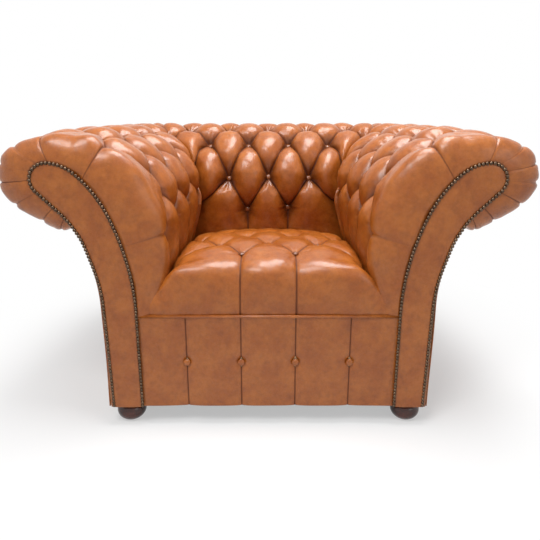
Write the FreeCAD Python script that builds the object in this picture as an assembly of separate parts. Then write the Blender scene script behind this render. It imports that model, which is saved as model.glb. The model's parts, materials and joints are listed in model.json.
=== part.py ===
import FreeCAD, Part
import math
import os

from FreeCAD import Vector

# A deep-buttoned armchair with scrolled arms and a back of the same height.
# Millimetres. +X is the sitter's left as seen from the front, +Y is the back, +Z is up.
# The origin is on the floor, under the middle of the whole chair.

# Driving sizes
WIDTH = 1350.0
DEPTH = 918.0
NAIL_RISE = 4.0
BASE_Z = 58.0
SEAT_EDGE_Z = 320.0
PITCH = 145.0
LEATHER = 3.0
BOARD = 26.0

# Places behind the front of the facings are given as a distance, d
FRONT_Y = -DEPTH / 2 + NAIL_RISE
HALF = PITCH / 2
FIRST_COLUMN = 100.0

# The arms lean in a little towards the back
SPLAY = 50.0
SPLAY_FROM = 100.0
SPLAY_TO = 570.0
SPLAY_RISE = 200.0

# The back is the arm's section, a tenth shallower, and both turn round a corner pivot
BACK_DEPTH = 598.0
BACK_RATIO = 0.9
PIVOT = 332.0
BASE_CORNER = 55.0
LEAN_FROM_Z = 360.0
LEAN_TO_Z = 540.0

# The seat's half width between the arms, and in front of them
SEAT_HALF = 276.0
SEAT_FRONT_HALF = 338.0
SEAT_BOTTOM_Z = 352.0

# The boards of the arms, and what lies on their edges
BOARD_D = 5.5
BOARD_INSET = -2.0
PLY = 3.0
PLY_INSET = BOARD_INSET - PLY
BED_INSET = PLY_INSET - 0.3
REAR_BOARD_D = 640.0
FRONT_PLEATS_AT = (100.0, 368.0, 545.0)
FRONT_PLEAT = 22.0
FRONT_SAG = 4.0
PAD_INSET = LEATHER + 0.3

# The outside, from its groove under the scroll
OUTSIDE_F = 936.0
OUTSIDE_INSET = BOARD_INSET - 0.5
CORNER_STEPS = 4

# The front border and the rail behind it
BORDER_HALF = 343.5
BORDER_SEAMS = (-3, -1, 1, 3)
BORDER_D = 4.0
CHANNEL_DEPTH = 6.0
BORDER_BUTTON_Z = 187.0
RAIL_D = 14.5
RAIL_TOP_Z = 340.0
LOW_RAIL = 120.0
STRETCHER = 60.0
WELT = 4.0

# The scroll rails and the tack rails: breadths and heights on the front section
SCROLL_RAIL = (498.0, 550.0, 648.0, 702.0)
TACK_RAIL = (350.0, 376.0, 350.0, 400.0)
UPRIGHT_X = 313.0
CORNER_RAIL_TURNS = (0.35, 0.75, 1.15, math.pi / 2)

# Zig-zag springs
SPRING_XS = (-240.0, -120.0, 0.0, 120.0, 240.0)
SPRING_WIRE = 4.0
SPRING_WIDTH = 50.0
SPRING_LOOPS = 12
SPRING_ARCH = 4.0
CLIP_WIDTH = 30.0
CLIP_PLATE = 1.5

# Buttons, nails and feet
BUTTON_RADIUS = 9.5
BUTTON_HEIGHT = 6.0
BUTTON_LIFT = 12.0
BUTTON_SIDES = 5
NAIL_RADIUS = 4.7
NAIL_PITCH = 9.4
NAIL_SIDES = 4
FOOT_RADIUS = 40.0
FOOT_NECK = 24.0
FOOT_SOLE = 24.0
FOOT_MIDDLE = 26.0
FOOT_SIDES = 16
FOOT_STEPS = 5
FRONT_FOOT = (386.0, 50.0)
BACK_FOOT = (374.0, 692.0)
BOLT_RADIUS = 4.0
BOLT_LOW_Z = 22.0
BLOCK = 40.0


def place(x, d, z):
    """A point at half breadth x, distance d behind the facings and height z."""
    return Vector(x, FRONT_Y + d, z)


class Outline:
    """A chain of arcs and straights in a plane; a turn is to the right, in degrees."""

    def __init__(self, x, z, heading, spans):
        self.spans = []
        self.length = 0.0
        for size, turn in spans:
            span = abs(math.radians(turn)) * size if turn else size
            self.spans.append((self.length, span, x, z, heading, size, turn))
            x, z, heading = self.step(x, z, heading, size, turn, span)
            self.length += span
        self.last = (x, z, heading)

    @staticmethod
    def step(x, z, heading, size, turn, run):
        """The point and heading after a run along one span."""
        angle = math.radians(heading)
        if not turn:
            return x + run * math.cos(angle), z + run * math.sin(angle), heading
        side = 1.0 if turn > 0 else -1.0
        cx = x + side * size * math.sin(angle)
        cz = z - side * size * math.cos(angle)
        end = angle - side * run / size
        return cx - side * size * math.sin(end), cz + side * size * math.cos(end), math.degrees(end)

    def at(self, s, inset=0.0):
        """Breadth, height and heading at a length s, moved inwards by inset."""
        if s < 0:
            x, z, heading = self.spans[0][2:5]
            x += s * math.cos(math.radians(heading))
            z += s * math.sin(math.radians(heading))
        elif s >= self.length:
            x, z, heading = self.last
        else:
            start, _, x, z, heading, size, turn = [one for one in self.spans if one[0] <= s][-1]
            x, z, heading = self.step(x, z, heading, size, turn, s - start)
        angle = math.radians(heading)
        return x + inset * math.sin(angle), z - inset * math.cos(angle), heading

    def edges(self, inset, point):
        """One arc or line for each span, moved inwards by inset."""
        made = []
        for start, span, _, _, _, _, turn in self.spans:
            stops = [start + 0.001, start + span / 2, start + span - 0.001]
            ends = [point(*self.at(stop, inset)[:2]) for stop in stops]
            if made:
                ends[0] = made[-1].Vertexes[-1].Point
            made.append(Part.Arc(*ends).toShape() if turn else Part.makeLine(ends[0], ends[2]))
        return made


# The padded arm from seat level, up the inside, over the scroll and in below it
PADDING = Outline(274.0, 433.0, 99.0,
                  ((400.0, 31.0), (218.0, 50.5), (243.0, 47.5), (92.0, 110.0), (425.0, 16.0), (40.0, 59.0),
                   (30.0, 0)))
OUTERMOST = 695.0
REACH = WIDTH / 2 + FRONT_SAG - PADDING.at(OUTERMOST)[0]

# The nail line round the facing, up its inner side and down its outer one
FACING = Outline(346.0, BASE_Z, 90.0,
                 ((272.0, 0), (650.0, 23.0), (303.0, 25.0), (98.0, 38.0), (40.0, 139.0),
                  (92.0, 0), (170.0, -31.0), (55.0, 0), (430.0, -14.0), (288.0, 0)))

# Where the gathered leather meets the facing: length on the padding, length on the nail line
EASING = ((-80.0, 292.0), (0.0, 372.0), (100.0, 451.0), (212.0, 541.0), (368.0, 638.0), (545.0, 735.0),
          (605.0, 752.0), (787.0, 827.0), (905.0, 904.0), (945.0, 925.0), (975.0, 948.0))

# The seat from its front welt, up, over the front edge and back to the rear
SEAT = Outline(8.0, SEAT_EDGE_Z, 96.0, ((400.0, 14.0), (60.0, 68.0), (420.0, 14.0), (1600.0, 17.0)))


def ease(s):
    """The length on the nail line that a length on the padding is drawn to."""
    for (s0, f0), (s1, f1) in zip(EASING, EASING[1:]):
        if s <= s1:
            return f0 + (f1 - f0) * (s - s0) / (s1 - s0)
    return EASING[-1][1]


def section(s, inset):
    """Half breadth and height of the padding's front section."""
    x, z, _ = PADDING.at(s, inset)
    return x + REACH, z


def lean(s):
    """How much of the arm's lean a height on the section takes."""
    return SPLAY * min(max(s / SPLAY_RISE, 0.0), 1.0)


def back_distance(breadth):
    """The back's distance behind the facings, for a breadth of the leant section."""
    return BACK_DEPTH + BACK_RATIO * (breadth - section(0, 0)[0])


PIVOT_D = back_distance(PIVOT)


def round_corner(breadth, turn, pivot=PIVOT):
    """A plan point of the corner, turn 0 on the arm and 90 degrees on the back."""
    if breadth <= pivot:
        return breadth, back_distance(breadth)
    reach = breadth - pivot
    return pivot + reach * math.cos(turn), back_distance(pivot) + BACK_RATIO * reach * math.sin(turn)


def arc_run(breadth):
    """Length of an eighth of the corner's turn, up to the mitre."""
    return max(breadth - PIVOT, 0.0) * (1 + BACK_RATIO) / 2 * math.pi / 4


def arm_end_of(breadth):
    """The length along the arm to the mitre, for a leant breadth."""
    return PIVOT_D + arc_run(breadth) if breadth > PIVOT else back_distance(breadth)


def back_end_of(breadth):
    """The half length across the back to the mitre, for a leant breadth."""
    return PIVOT + arc_run(breadth) if breadth > PIVOT else breadth


def along_arm(d, breadth, z, inward):
    """A point of the right arm, d along it, leaning inward as far as that distance asks."""
    breadth -= inward * min(max((d - SPLAY_FROM) / (SPLAY_TO - SPLAY_FROM), 0.0), 1.0)
    if d <= PIVOT_D or breadth <= PIVOT:
        return place(breadth, d, z)
    x, y = round_corner(breadth, math.pi / 4 * (d - PIVOT_D) / arc_run(breadth))
    return place(x, y, z)


def across_back(x, breadth, z):
    """A point of the back, x across it, for a leant breadth."""
    if abs(x) <= PIVOT or breadth <= PIVOT:
        return place(x, back_distance(breadth), z)
    over, y = round_corner(breadth, math.pi / 2 - math.pi / 4 * (abs(x) - PIVOT) / arc_run(breadth))
    return place(math.copysign(over, x), y, z)


def arm_end(s, inset):
    """The padding's length along the arm to the mitre."""
    return arm_end_of(section(s, inset)[0] - lean(s))


def back_end(s, inset):
    """The padding's half length across the back to the mitre."""
    return back_end_of(section(s, inset)[0] - lean(s))


def arm(d, s, inset):
    """A point of the right arm's padding, d along the arm and s round the section."""
    return along_arm(d, *section(s, inset), lean(s))


def back(x, s, inset):
    """A point of the back's padding, x across and s round the section."""
    breadth, z = section(s, inset)
    return across_back(x, breadth - lean(s), z)


def height_lean(z):
    """The lean of the frame and the outside at a height."""
    return SPLAY * min(max((z - LEAN_FROM_Z) / (LEAN_TO_Z - LEAN_FROM_Z), 0.0), 1.0)


def bed_end(s, inset):
    """The breadth at the mitre of the boards under the padding."""
    x, z, _ = FACING.at(ease(s), inset)
    return x - height_lean(z)


def arm_bed(d, s, inset):
    """A point of the boards that the arm's padding lies on."""
    x, z, _ = FACING.at(ease(s), inset)
    return along_arm(d, x, z, height_lean(z))


def back_bed(x, s, inset):
    """A point of the boards that the back's padding lies on."""
    breadth, z, _ = FACING.at(ease(s), inset)
    return across_back(x, breadth - height_lean(z), z)


def seat(x, q, inset):
    """A point of the seat, x across and q along its section, lower at the sides."""
    sag = 34.0 * min(abs(x) / SEAT_HALF, 1.0) ** 3 if q > 150 else 0.0
    d, z, _ = SEAT.at(q, inset)
    return place(x, d, z - sag)


# Faceted soft forms

def bow(a, crown, b, count):
    """A padded line from a to b over the crown."""
    lift = crown - (a + b) * 0.5
    shares = [i / count for i in range(count + 1)]
    return [a + (b - a) * share + lift * (1 - abs(2 * share - 1) ** 2.4) for share in shares]


def strips(lines):
    """Facets between lines of equal count."""
    facets = []
    for low, high in zip(lines, lines[1:]):
        for i in range(len(low) - 1):
            facets.append((low[i], low[i + 1], high[i + 1]))
            facets.append((low[i], high[i + 1], high[i]))
    return facets


def folded(front, crown, behind, count):
    """A line from the facing, out and over the crown, and back to the pleats behind it."""
    back_by = Vector(0, crown.y - front.y, 0)
    out_by = crown - front - back_by
    turns = [math.pi / 2 * i / (count - 2) for i in range(count - 1)]
    line = [front + out_by * math.sin(turn) + back_by * (1 - math.cos(turn)) for turn in turns]
    return line + [(crown + behind) * 0.5, behind]


def bridged(low, high):
    """Facets between two lines of different counts."""
    facets = []
    i = j = 0
    while i < len(low) - 1 or j < len(high) - 1:
        if i < len(low) - 1 and (i + 1) * (len(high) - 1) <= (j + 1) * (len(low) - 1):
            facets.append((low[i], low[i + 1], high[j]))
            i += 1
        else:
            facets.append((low[i], high[j + 1], high[j]))
            j += 1
    return facets


def panel(stations, count):
    """Facets over stations that are a point or a triple of side, crown and side."""
    return strips([[one] * (count + 1) if isinstance(one, Vector) else bow(*one, count) for one in stations])


def fan(hub, line):
    """Facets from a hub to a line."""
    return [(hub, line[i], line[i + 1]) for i in range(len(line) - 1)]


def numbered(facets):
    """The shared points of facets, and each facet's three numbers with empty ones left out."""
    index, points, order = {}, [], []
    for facet in facets:
        row = []
        for point in facet:
            key = (round(point.x, 2), round(point.y, 2), round(point.z, 2))
            if key not in index:
                index[key] = len(points)
                points.append(point)
            row.append(index[key])
        order.append(tuple(row))
    return points, order


def rim_of(order):
    """Directed edges that only one facet uses."""
    used = {}
    for one in order:
        for i in range(3):
            edge = (one[i], one[(i + 1) % 3])
            if (edge[1], edge[0]) in used:
                del used[(edge[1], edge[0])]
            else:
                used[edge] = True
    return list(used)


def solid_of(facets):
    """A closed solid from facets that meet edge to edge."""
    points, order = numbered(facets)
    shape = Part.Shape()
    shape.makeShapeFromMesh((points, [one for one in order if len(set(one)) == 3]), 0.01)
    shell = shape if shape.ShapeType == "Shell" else Part.makeShell(shape.Faces)
    made = Part.makeSolid(shell)
    if made.Volume < 0:
        made.reverse()
    return made


def skin(outer, inner):
    """A cover between two nets of the same layout."""
    _, order = numbered(outer)
    sound = [i for i, one in enumerate(order) if len(set(one)) == 3]
    partner = {}
    for i in sound:
        for number, point, mate in zip(order[i], outer[i], inner[i]):
            partner.setdefault(number, (point, mate))
    facets = [tuple(partner[number][0] for number in order[i]) for i in sound]
    facets += [tuple(partner[number][1] for number in reversed(order[i])) for i in sound]
    for a, b in rim_of([order[i] for i in sound]):
        facets += strips([[partner[b][0], partner[a][0]], [partner[b][1], partner[a][1]]])
    return solid_of(facets)


def enclosed(face, floor):
    """A solid between two nets; each is its facets and the four lines round its rim."""
    facets = face[0] + [(one[0], one[2], one[1]) for one in floor[0]]
    for outer, inner in zip(face[1], floor[1]):
        facets += bridged(inner, outer)
    return solid_of(facets)


def rows_net(rows):
    """A net over rows of points of any count, with its rim."""
    facets = []
    for low, high in zip(rows, rows[1:]):
        facets += bridged(low, high)
    return facets, (rows[0], [row[-1] for row in rows], rows[-1][::-1], [row[0] for row in rows[::-1]])


def based(face, hub):
    """A solid under a padded face, closed from its rim to one point below it."""
    points, order = numbered(face)
    rim = rim_of([one for one in order if len(set(one)) == 3])
    return solid_of(face + [(points[b], points[a], hub) for a, b in rim])


def beam(rings):
    """A solid through closed rings of points."""
    facets = strips([ring + ring[:1] for ring in rings])
    facets += [(one[0], one[2], one[1]) for one in fan(rings[0][0], rings[0][1:])]
    facets += fan(rings[-1][0], rings[-1][1:])
    return solid_of(facets)


def mirrored(shape):
    """The same piece on the other side."""
    return shape.mirror(Vector(), Vector(1, 0, 0))


class Lattice:
    """Buttons in staggered rows, with straight pleats beyond the first and the last row."""

    def __init__(self, rows, corners, at, along, low, high):
        self.rows = rows
        self.corners = corners
        self.at = at
        self.along = along
        self.low = low
        self.high = high

    def pit(self, k, column, inset):
        """A button's pit, or the pattern's point on a corner."""
        s, depth, _ = self.rows[k]
        return self.at(self.along(column, s, depth + inset), s, depth + inset)

    def tail(self, column, s, depth, inset):
        """A point of a straight pleat."""
        return self.at(self.along(column, s, depth + inset), s, depth + inset)

    def between(self, k, a, b):
        """The column of row k that the pleats from a and b meet at."""
        inside = [column for column in self.rows[k][2] if a < column < b]
        return inside[0] if inside else (a if a in self.corners else b)

    def tails(self, a, b, stops, inset):
        """Stations between two straight pleats."""
        made = []
        for s, depth in stops:
            middle = (self.along(a, s, inset) + self.along(b, s, inset)) / 2
            ends = [self.tail(column, s, depth, inset) for column in (a, b)]
            made.append((ends[0], self.at(middle, s, inset), ends[1]))
        return made

    def tip(self, k, m, a, b, inset):
        """The station half way to the button where two pleats meet, and that button."""
        s, _, _ = self.rows[k]
        near = k + 1 if m > k else k - 1
        column = self.between(near, a, b)
        apex = self.pit(near, column, inset)
        middle = (self.along(a, s, inset) + self.along(b, s, inset)) / 4
        middle += self.along(column, self.rows[near][0], inset) / 2
        crown = self.at(middle, (s + self.rows[near][0]) / 2, inset + 8.0)
        ends = [(self.pit(k, one, inset) + apex) * 0.5 for one in (a, b)]
        return (ends[0], crown, ends[1]), apex

    def cells(self, inset, count):
        """Every pillow of the pattern as facets."""
        facets = []
        last = len(self.rows) - 1
        for k, (s, _, columns) in enumerate(self.rows):
            for a, b in zip(columns, columns[1:]):
                middle = (self.along(a, s, inset) + self.along(b, s, inset)) / 2
                stations = [(self.pit(k, a, inset), self.at(middle, s, inset), self.pit(k, b, inset))]
                if k == 0:
                    stations = self.tails(a, b, self.low, inset) + stations
                else:
                    station, apex = self.tip(k, k - 1, a, b, inset)
                    stations = [apex, station] + stations
                if k == last:
                    stations += self.tails(a, b, self.high, inset)
                else:
                    station, apex = self.tip(k, k + 1, a, b, inset)
                    stations += [station, apex]
                facets += panel(stations, count)
        return facets

    def side(self, which, inset):
        """The first or the last line across the rows, with the points half way between rows."""
        pits = [self.pit(k, row[2][which], inset) for k, row in enumerate(self.rows)]
        line = [self.tail(self.rows[0][2][which], s, depth, inset) for s, depth in self.low]
        for pit, after in zip(pits, pits[1:]):
            line += [pit, (pit + after) * 0.5]
        line.append(pits[-1])
        line += [self.tail(self.rows[-1][2][which], s, depth, inset) for s, depth in self.high]
        return line

    def lengths(self):
        """The length round the section of each point of a side."""
        stops = [s for s, _ in self.low]
        for (s, _, _), (after, _, _) in zip(self.rows, self.rows[1:]):
            stops += [s, (s + after) / 2]
        return stops + [self.rows[-1][0]] + [s for s, _ in self.high]

    def end_line(self, which, inset, count):
        """The rim across the first or the last straight pleats, through its bowed points."""
        stop = (self.low[0], self.high[-1])[which]
        columns = self.rows[which][2]
        line = []
        for a, b in zip(columns, columns[1:]):
            part = bow(*self.tails(a, b, [stop], inset)[0], count)
            line += part[1:] if line else part
        return line


# Rows of buttons: length round the section, depth and columns of half a pitch
ROW_SIZES = ((100.0, 33.0), (212.0, 38.0), (368.0, 42.0), (440.0, 20.0), (545.0, 20.0))
LOW_PLEATS = ((-80.0, 0.0), (0.0, 20.0))
HIGH_PLEATS = ((605.0, 14.0), (650.0, 10.0), (695.0, 8.0), (740.0, 8.0), (787.0, 8.0), (860.0, 8.0),
               (920.0, 5.0), (975.0, 0.0))
ARM_CORNER = 9
ARM_COLUMNS = ((0, 2, 4, 6, 9), (1, 3, 5, 9), (0, 2, 4, 6, 9), (1, 3, 5, 7, 9), (0, 2, 4, 6, 8, 9))
BACK_CORNER = 6
BACK_COLUMNS = ((-6, -1, 1, 6), (-6, -2, 0, 2, 6), (-6, -3, -1, 1, 3, 6),
                (-6, -4, -2, 0, 2, 4, 6), (-6, -5, -3, -1, 1, 3, 5, 6))
SEAT_CORNER = 4
SEAT_ROWS = ((216.0, 16.0, (-4, -1, 1, 4)), (329.0, 22.0, (-4, -2, 0, 2, 4)),
             (443.0, 24.0, (-4, -3, -1, 1, 3, 4)), (558.0, 24.0, (-4, -2, 0, 2, 4)),
             (660.0, 22.0, (-4, -3, -1, 1, 3, 4)))
SEAT_LOW = ((0.0, 0.0), (32.0, 1.0), (60.0, 3.0), (98.0, 6.0), (121.0, 8.0), (145.0, 10.0), (169.0, 12.0),
            (190.0, 13.0))
SEAT_HIGH = ((710.0, 4.0),)
SEAT_FLARE = ((98.0, SEAT_FRONT_HALF), (121.0, 315.0), (145.0, 289.0), (169.0, SEAT_HALF))


def arm_along(column, s, inset):
    """Where a column of the arm's pattern stands along the arm."""
    return arm_end(s, inset) if column == ARM_CORNER else FIRST_COLUMN + HALF * column


def back_along(column, s, inset):
    """Where a column of the back's pattern stands across the back."""
    return math.copysign(back_end(s, inset), column) if abs(column) == BACK_CORNER else HALF * column


def seat_edge(q):
    """The seat's half width, which widens in front of the arms."""
    for (q0, x0), (q1, x1) in zip(SEAT_FLARE, SEAT_FLARE[1:]):
        if q <= q1:
            return x0 + (x1 - x0) * max(q - q0, 0.0) / (q1 - q0)
    return SEAT_HALF


def seat_along(column, q, inset):
    """Where a column of the seat's pattern stands across the seat."""
    if abs(column) == SEAT_CORNER:
        return math.copysign(seat_edge(q) - inset, column)
    return HALF * column


def rows_with(columns):
    """The shared row sizes with a piece's own columns."""
    return tuple((s, depth, one) for (s, depth), one in zip(ROW_SIZES, columns))


ARM_ROWS = rows_with(ARM_COLUMNS)
BACK_ROWS = rows_with(BACK_COLUMNS)
ARM_LATTICE = Lattice(ARM_ROWS, (ARM_CORNER,), arm, arm_along, LOW_PLEATS, HIGH_PLEATS)
BACK_LATTICE = Lattice(BACK_ROWS, (-BACK_CORNER, BACK_CORNER), back, back_along, LOW_PLEATS, HIGH_PLEATS)
SEAT_LATTICE = Lattice(SEAT_ROWS, (-SEAT_CORNER, SEAT_CORNER), seat, seat_along, SEAT_LOW, SEAT_HIGH)
SEAT_PAD = Lattice(SEAT_ROWS, (-SEAT_CORNER, SEAT_CORNER), seat, seat_along, SEAT_LOW[1:], SEAT_HIGH)


def nail_line(s, inset):
    """Where the gathered leather ends at the facing."""
    x, z, _ = FACING.at(ease(s), -0.5)
    return place(x, 2.0 + inset, z)


def arm_front(lattice, inset, edge, count):
    """The smooth front of the padding, from the facing over its edge to the first pleats."""
    lines = []
    for s, behind in zip(lattice.lengths(), lattice.side(0, inset)):
        depth = FRONT_PLEAT if s in FRONT_PLEATS_AT else FRONT_SAG
        crown = lattice.at((behind.y - FRONT_Y) * 0.45, s, depth + inset)
        lines.append(folded(edge(s, inset), crown, behind, count))
    return lines


def arm_net(inset, fine):
    """The right arm's padded face, and its rim."""
    lattice, count = ARM_LATTICE, 4 if fine else 2
    front = arm_front(lattice, inset, nail_line, count + 2)
    first = front[0] + lattice.end_line(0, inset, count)[1:]
    last = front[-1] + lattice.end_line(-1, inset, count)[1:]
    rim = (first, lattice.side(-1, inset), last[::-1], [line[0] for line in front[::-1]])
    return strips(front) + lattice.cells(inset, count), rim


def back_net(inset, fine):
    """The back's padded face, and its rim."""
    lattice, count = BACK_LATTICE, 4 if fine else 2
    rim = (lattice.end_line(0, inset, count), lattice.side(-1, inset),
           lattice.end_line(-1, inset, count)[::-1], lattice.side(0, inset)[::-1])
    return lattice.cells(inset, count), rim


def seat_net(inset, fine, lattice=SEAT_LATTICE):
    """The seat's padded face with its side and back walls, and its rim."""
    count = 4 if fine else 2
    facets = lattice.cells(inset, count)
    rim = [lattice.end_line(0, inset, count)]
    for line in (lattice.side(-1, inset), lattice.end_line(-1, inset, count)[::-1], lattice.side(0, inset)[::-1]):
        low = [Vector(one.x, one.y, min(SEAT_BOTTOM_Z, one.z)) for one in line]
        facets += strips([low, line])
        rim.append(low)
    return facets, rim


# Leather

def leather(net):
    """A cover of leather, with the wadding that fills out its crowns."""
    return enclosed(net(0.0, True), net(LEATHER, False))


def facing_profile(inset, d, thickness):
    """A flat plate with the facing's outline."""
    edges = FACING.edges(inset, lambda x, z: place(x, d, z))
    edges.append(Part.makeLine(edges[-1].Vertexes[-1].Point, edges[0].Vertexes[0].Point))
    return Part.Face(Part.Wire(edges)).extrude(Vector(0, thickness, 0))


def outside_breadth(f, inset):
    """The leant breadth, the height and the corner's pivot on the chair's outside."""
    x, z, _ = FACING.at(f, inset)
    share = height_lean(z) / SPLAY
    breadth = x - SPLAY * share
    return x, z, breadth, breadth - BASE_CORNER + (PIVOT - breadth + BASE_CORNER) * share


def outside_arm_line(f, inset):
    """A level line of the outside from the facing round the corner."""
    x, z, breadth, pivot = outside_breadth(f, inset)
    line = [place(x, BOARD_D, z), place(x, SPLAY_FROM, z), place(breadth, SPLAY_TO, z)]
    for step in range(CORNER_STEPS + 1):
        over, d = round_corner(breadth, math.pi / 2 * step / CORNER_STEPS, pivot)
        line.append(place(over, d, z))
    return line


def outside_back_line(f, inset):
    """A level line of the outside across the back, between the corners."""
    _, z, breadth, pivot = outside_breadth(f, inset)
    d = back_distance(breadth)
    return [place(side * pivot, d, z) for side in (1, 0, -1)]


def outside_net(line, inset):
    """The outside under the scroll, from its groove down to the base."""
    count = 8
    stops = [OUTSIDE_F + (FACING.length - OUTSIDE_F) * i / count for i in range(count + 1)]
    return strips([line(f, inset) for f in stops])


def outside_cover(line):
    """A cover of the outside, lying on the frame's edges."""
    return skin(outside_net(line, OUTSIDE_INSET - LEATHER), outside_net(line, OUTSIDE_INSET))


def channels(d, deep, flat_d):
    """The border's section: pads bulging forward between the seams, and a flat rear."""
    stops = [-BORDER_HALF] + [seam * HALF for seam in BORDER_SEAMS] + [BORDER_HALF]
    edges = []
    for a, b in zip(stops, stops[1:]):
        ends = [place(a, d + deep, BASE_Z), place((a + b) / 2, d, BASE_Z), place(b, d + deep, BASE_Z)]
        edges.append(Part.Arc(*ends).toShape())
    rear = [place(stops[-1], d + deep, BASE_Z), place(stops[-1], flat_d, BASE_Z),
            place(stops[0], flat_d, BASE_Z), place(stops[0], d + deep, BASE_Z)]
    edges += [Part.makeLine(a, b) for a, b in zip(rear, rear[1:])]
    return Part.Face(Part.Wire(edges)).extrude(Vector(0, 0, SEAT_EDGE_Z - BASE_Z))


def border_cover():
    """The channelled leather of the front border."""
    whole = channels(BORDER_D, CHANNEL_DEPTH, BORDER_D + CHANNEL_DEPTH + LEATHER)
    return whole.cut(border_pad())


def border_pad():
    """The padding of the front border, against the seat rail."""
    return channels(BORDER_D + LEATHER, CHANNEL_DEPTH, RAIL_D)


def seat_welt():
    """The piping between the seat and the border."""
    start = place(-BORDER_HALF, BORDER_D + WELT, SEAT_EDGE_Z)
    return Part.makeCylinder(WELT, 2 * BORDER_HALF, start, Vector(1, 0, 0))


# Padding

def arm_foam():
    """The right arm's padding, from under the leather to the bent boards."""
    rows = []
    for s in ARM_LATTICE.lengths():
        end = arm_end_of(bed_end(s, BED_INSET))
        rows.append([arm_bed(d, s, BED_INSET) for d in (BOARD_D, SPLAY_FROM, (SPLAY_TO + end) / 2, end)])
    return enclosed(arm_net(PAD_INSET, False), rows_net(rows))


def back_foam():
    """The back's padding, from under the leather to the bent boards."""
    rows = []
    for s in BACK_LATTICE.lengths():
        end = back_end_of(bed_end(s, BED_INSET))
        inner = min(PIVOT, end - 1.0)
        rows.append([back_bed(x, s, BED_INSET) for x in (-end, -inner, inner, end)])
    return enclosed(back_net(PAD_INSET, False), rows_net(rows))


def seat_foam():
    """The seat's padding, on the hessian."""
    return based(seat_net(PAD_INSET, False, SEAT_PAD)[0], place(0, DEPTH / 3, SEAT_BOTTOM_Z))


# Frame

def bent_board(line):
    """A bent sheet on the boards' edges, from a function of s and inset."""
    stops = ARM_LATTICE.lengths()[::2]
    nets = [strips([line(s, inset) for s in stops]) for inset in (PLY_INSET, BOARD_INSET)]
    return skin(*nets)


def arm_panel_line(s, inset):
    """A line of the arm's bent board, from its front edge to the mitre."""
    end = arm_end_of(bed_end(s, inset))
    return [arm_bed(d, s, inset) for d in (BOARD_D, SPLAY_FROM, SPLAY_TO, (SPLAY_TO + end) / 2, end)]


def back_panel_line(s, inset):
    """A line of the back's bent board, from mitre to mitre."""
    end = back_end_of(bed_end(s, inset))
    inner = min(PIVOT, end - 1.0)
    return [back_bed(x, s, inset) for x in (-end, -(end + inner) / 2, -inner, inner, (end + inner) / 2, end)]


def arm_board(d, inward):
    """A board across the arm with the scroll's outline."""
    edges = FACING.edges(BOARD_INSET, lambda x, z: place(x - height_lean(z) * inward, d, z))
    edges.append(Part.makeLine(edges[-1].Vertexes[-1].Point, edges[0].Vertexes[0].Point))
    return Part.Face(Part.Wire(edges)).extrude(Vector(0, BOARD, 0))


def upright(x):
    """A board across the back with the scroll's outline."""
    def leant(breadth, z):
        return place(x - BOARD / 2, back_distance(breadth - height_lean(z)), z)

    edges = FACING.edges(BOARD_INSET, leant)
    edges.append(Part.makeLine(edges[-1].Vertexes[-1].Point, edges[0].Vertexes[0].Point))
    return Part.Face(Part.Wire(edges)).extrude(Vector(BOARD, 0, 0))


def bar(x, d, z):
    """A straight square-edged piece between pairs of breadths, distances and heights."""
    size = [pair[1] - pair[0] for pair in (x, d, z)]
    return Part.makeBox(*size, place(x[0], d[0], z[0]))


def scroll_ring(point):
    """The four corners of the scroll rail's section, from a function of breadth and height."""
    b0, b1, z0, z1 = SCROLL_RAIL
    return [point(b0, z0), point(b1, z0), point(b1, z1), point(b0, z1)]


def arm_top_rail():
    """The rail inside the right arm's scroll, leaning in towards the rear."""
    rings = [scroll_ring(lambda b, z: place(b, BOARD_D + BOARD, z)),
             scroll_ring(lambda b, z: place(b, SPLAY_FROM, z)),
             scroll_ring(lambda b, z: place(b - SPLAY, SPLAY_TO, z)),
             scroll_ring(lambda b, z: place(b - SPLAY, REAR_BOARD_D, z))]
    return beam(rings)


def corner_rail():
    """The curved rail that carries the scroll round the right corner."""
    rings = [scroll_ring(lambda b, z: place(b - SPLAY, REAR_BOARD_D + BOARD, z))]
    for turn in CORNER_RAIL_TURNS:
        rings.append(scroll_ring(lambda b, z: place(*round_corner(b - SPLAY, turn), z)))
    rings.append(scroll_ring(lambda b, z: place(UPRIGHT_X + BOARD / 2, back_distance(b - SPLAY), z)))
    return beam(rings)


def across(section_pair, heights, half):
    """A rail of the back across the chair, from its breadths on the front section."""
    distances = [back_distance(breadth) for breadth in section_pair]
    return bar((-half, half), distances, heights)


OUTER_EDGE = FACING.last[0] - BOARD_INSET
INNER_EDGE = FACING.at(0)[0] + BOARD_INSET
LOW_RAIL_Z = (BASE_Z, BASE_Z + LOW_RAIL)
BACK_RAIL_D = back_distance(INNER_EDGE) - BOARD
RAIL_INSIDE = UPRIGHT_X - BOARD / 2
BACK_RAILS = {
    "back_top_rail": across((SCROLL_RAIL[0] - SPLAY, SCROLL_RAIL[1] - SPLAY), SCROLL_RAIL[2:], RAIL_INSIDE),
    "back_tack_rail": across(TACK_RAIL[:2], TACK_RAIL[2:], RAIL_INSIDE),
    "back_lower_rail": across((OUTER_EDGE - BOARD, OUTER_EDGE), LOW_RAIL_Z, RAIL_INSIDE),
}


def centre_upright():
    """The middle upright, notched for the rails that pass through it."""
    whole = upright(0.0)
    for rail in BACK_RAILS.values():
        whole = whole.cut(rail)
    return whole


def prism(foot, radius, sides, low, high):
    """An upright many-sided rod below or above a foot's place."""
    turns = [2 * math.pi * i / sides for i in range(sides + 1)]
    ring = [place(foot[0] + radius * math.cos(a), foot[1] + radius * math.sin(a), low) for a in turns]
    return Part.Face(Part.makePolygon(ring)).extrude(Vector(0, 0, high - low))


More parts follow.
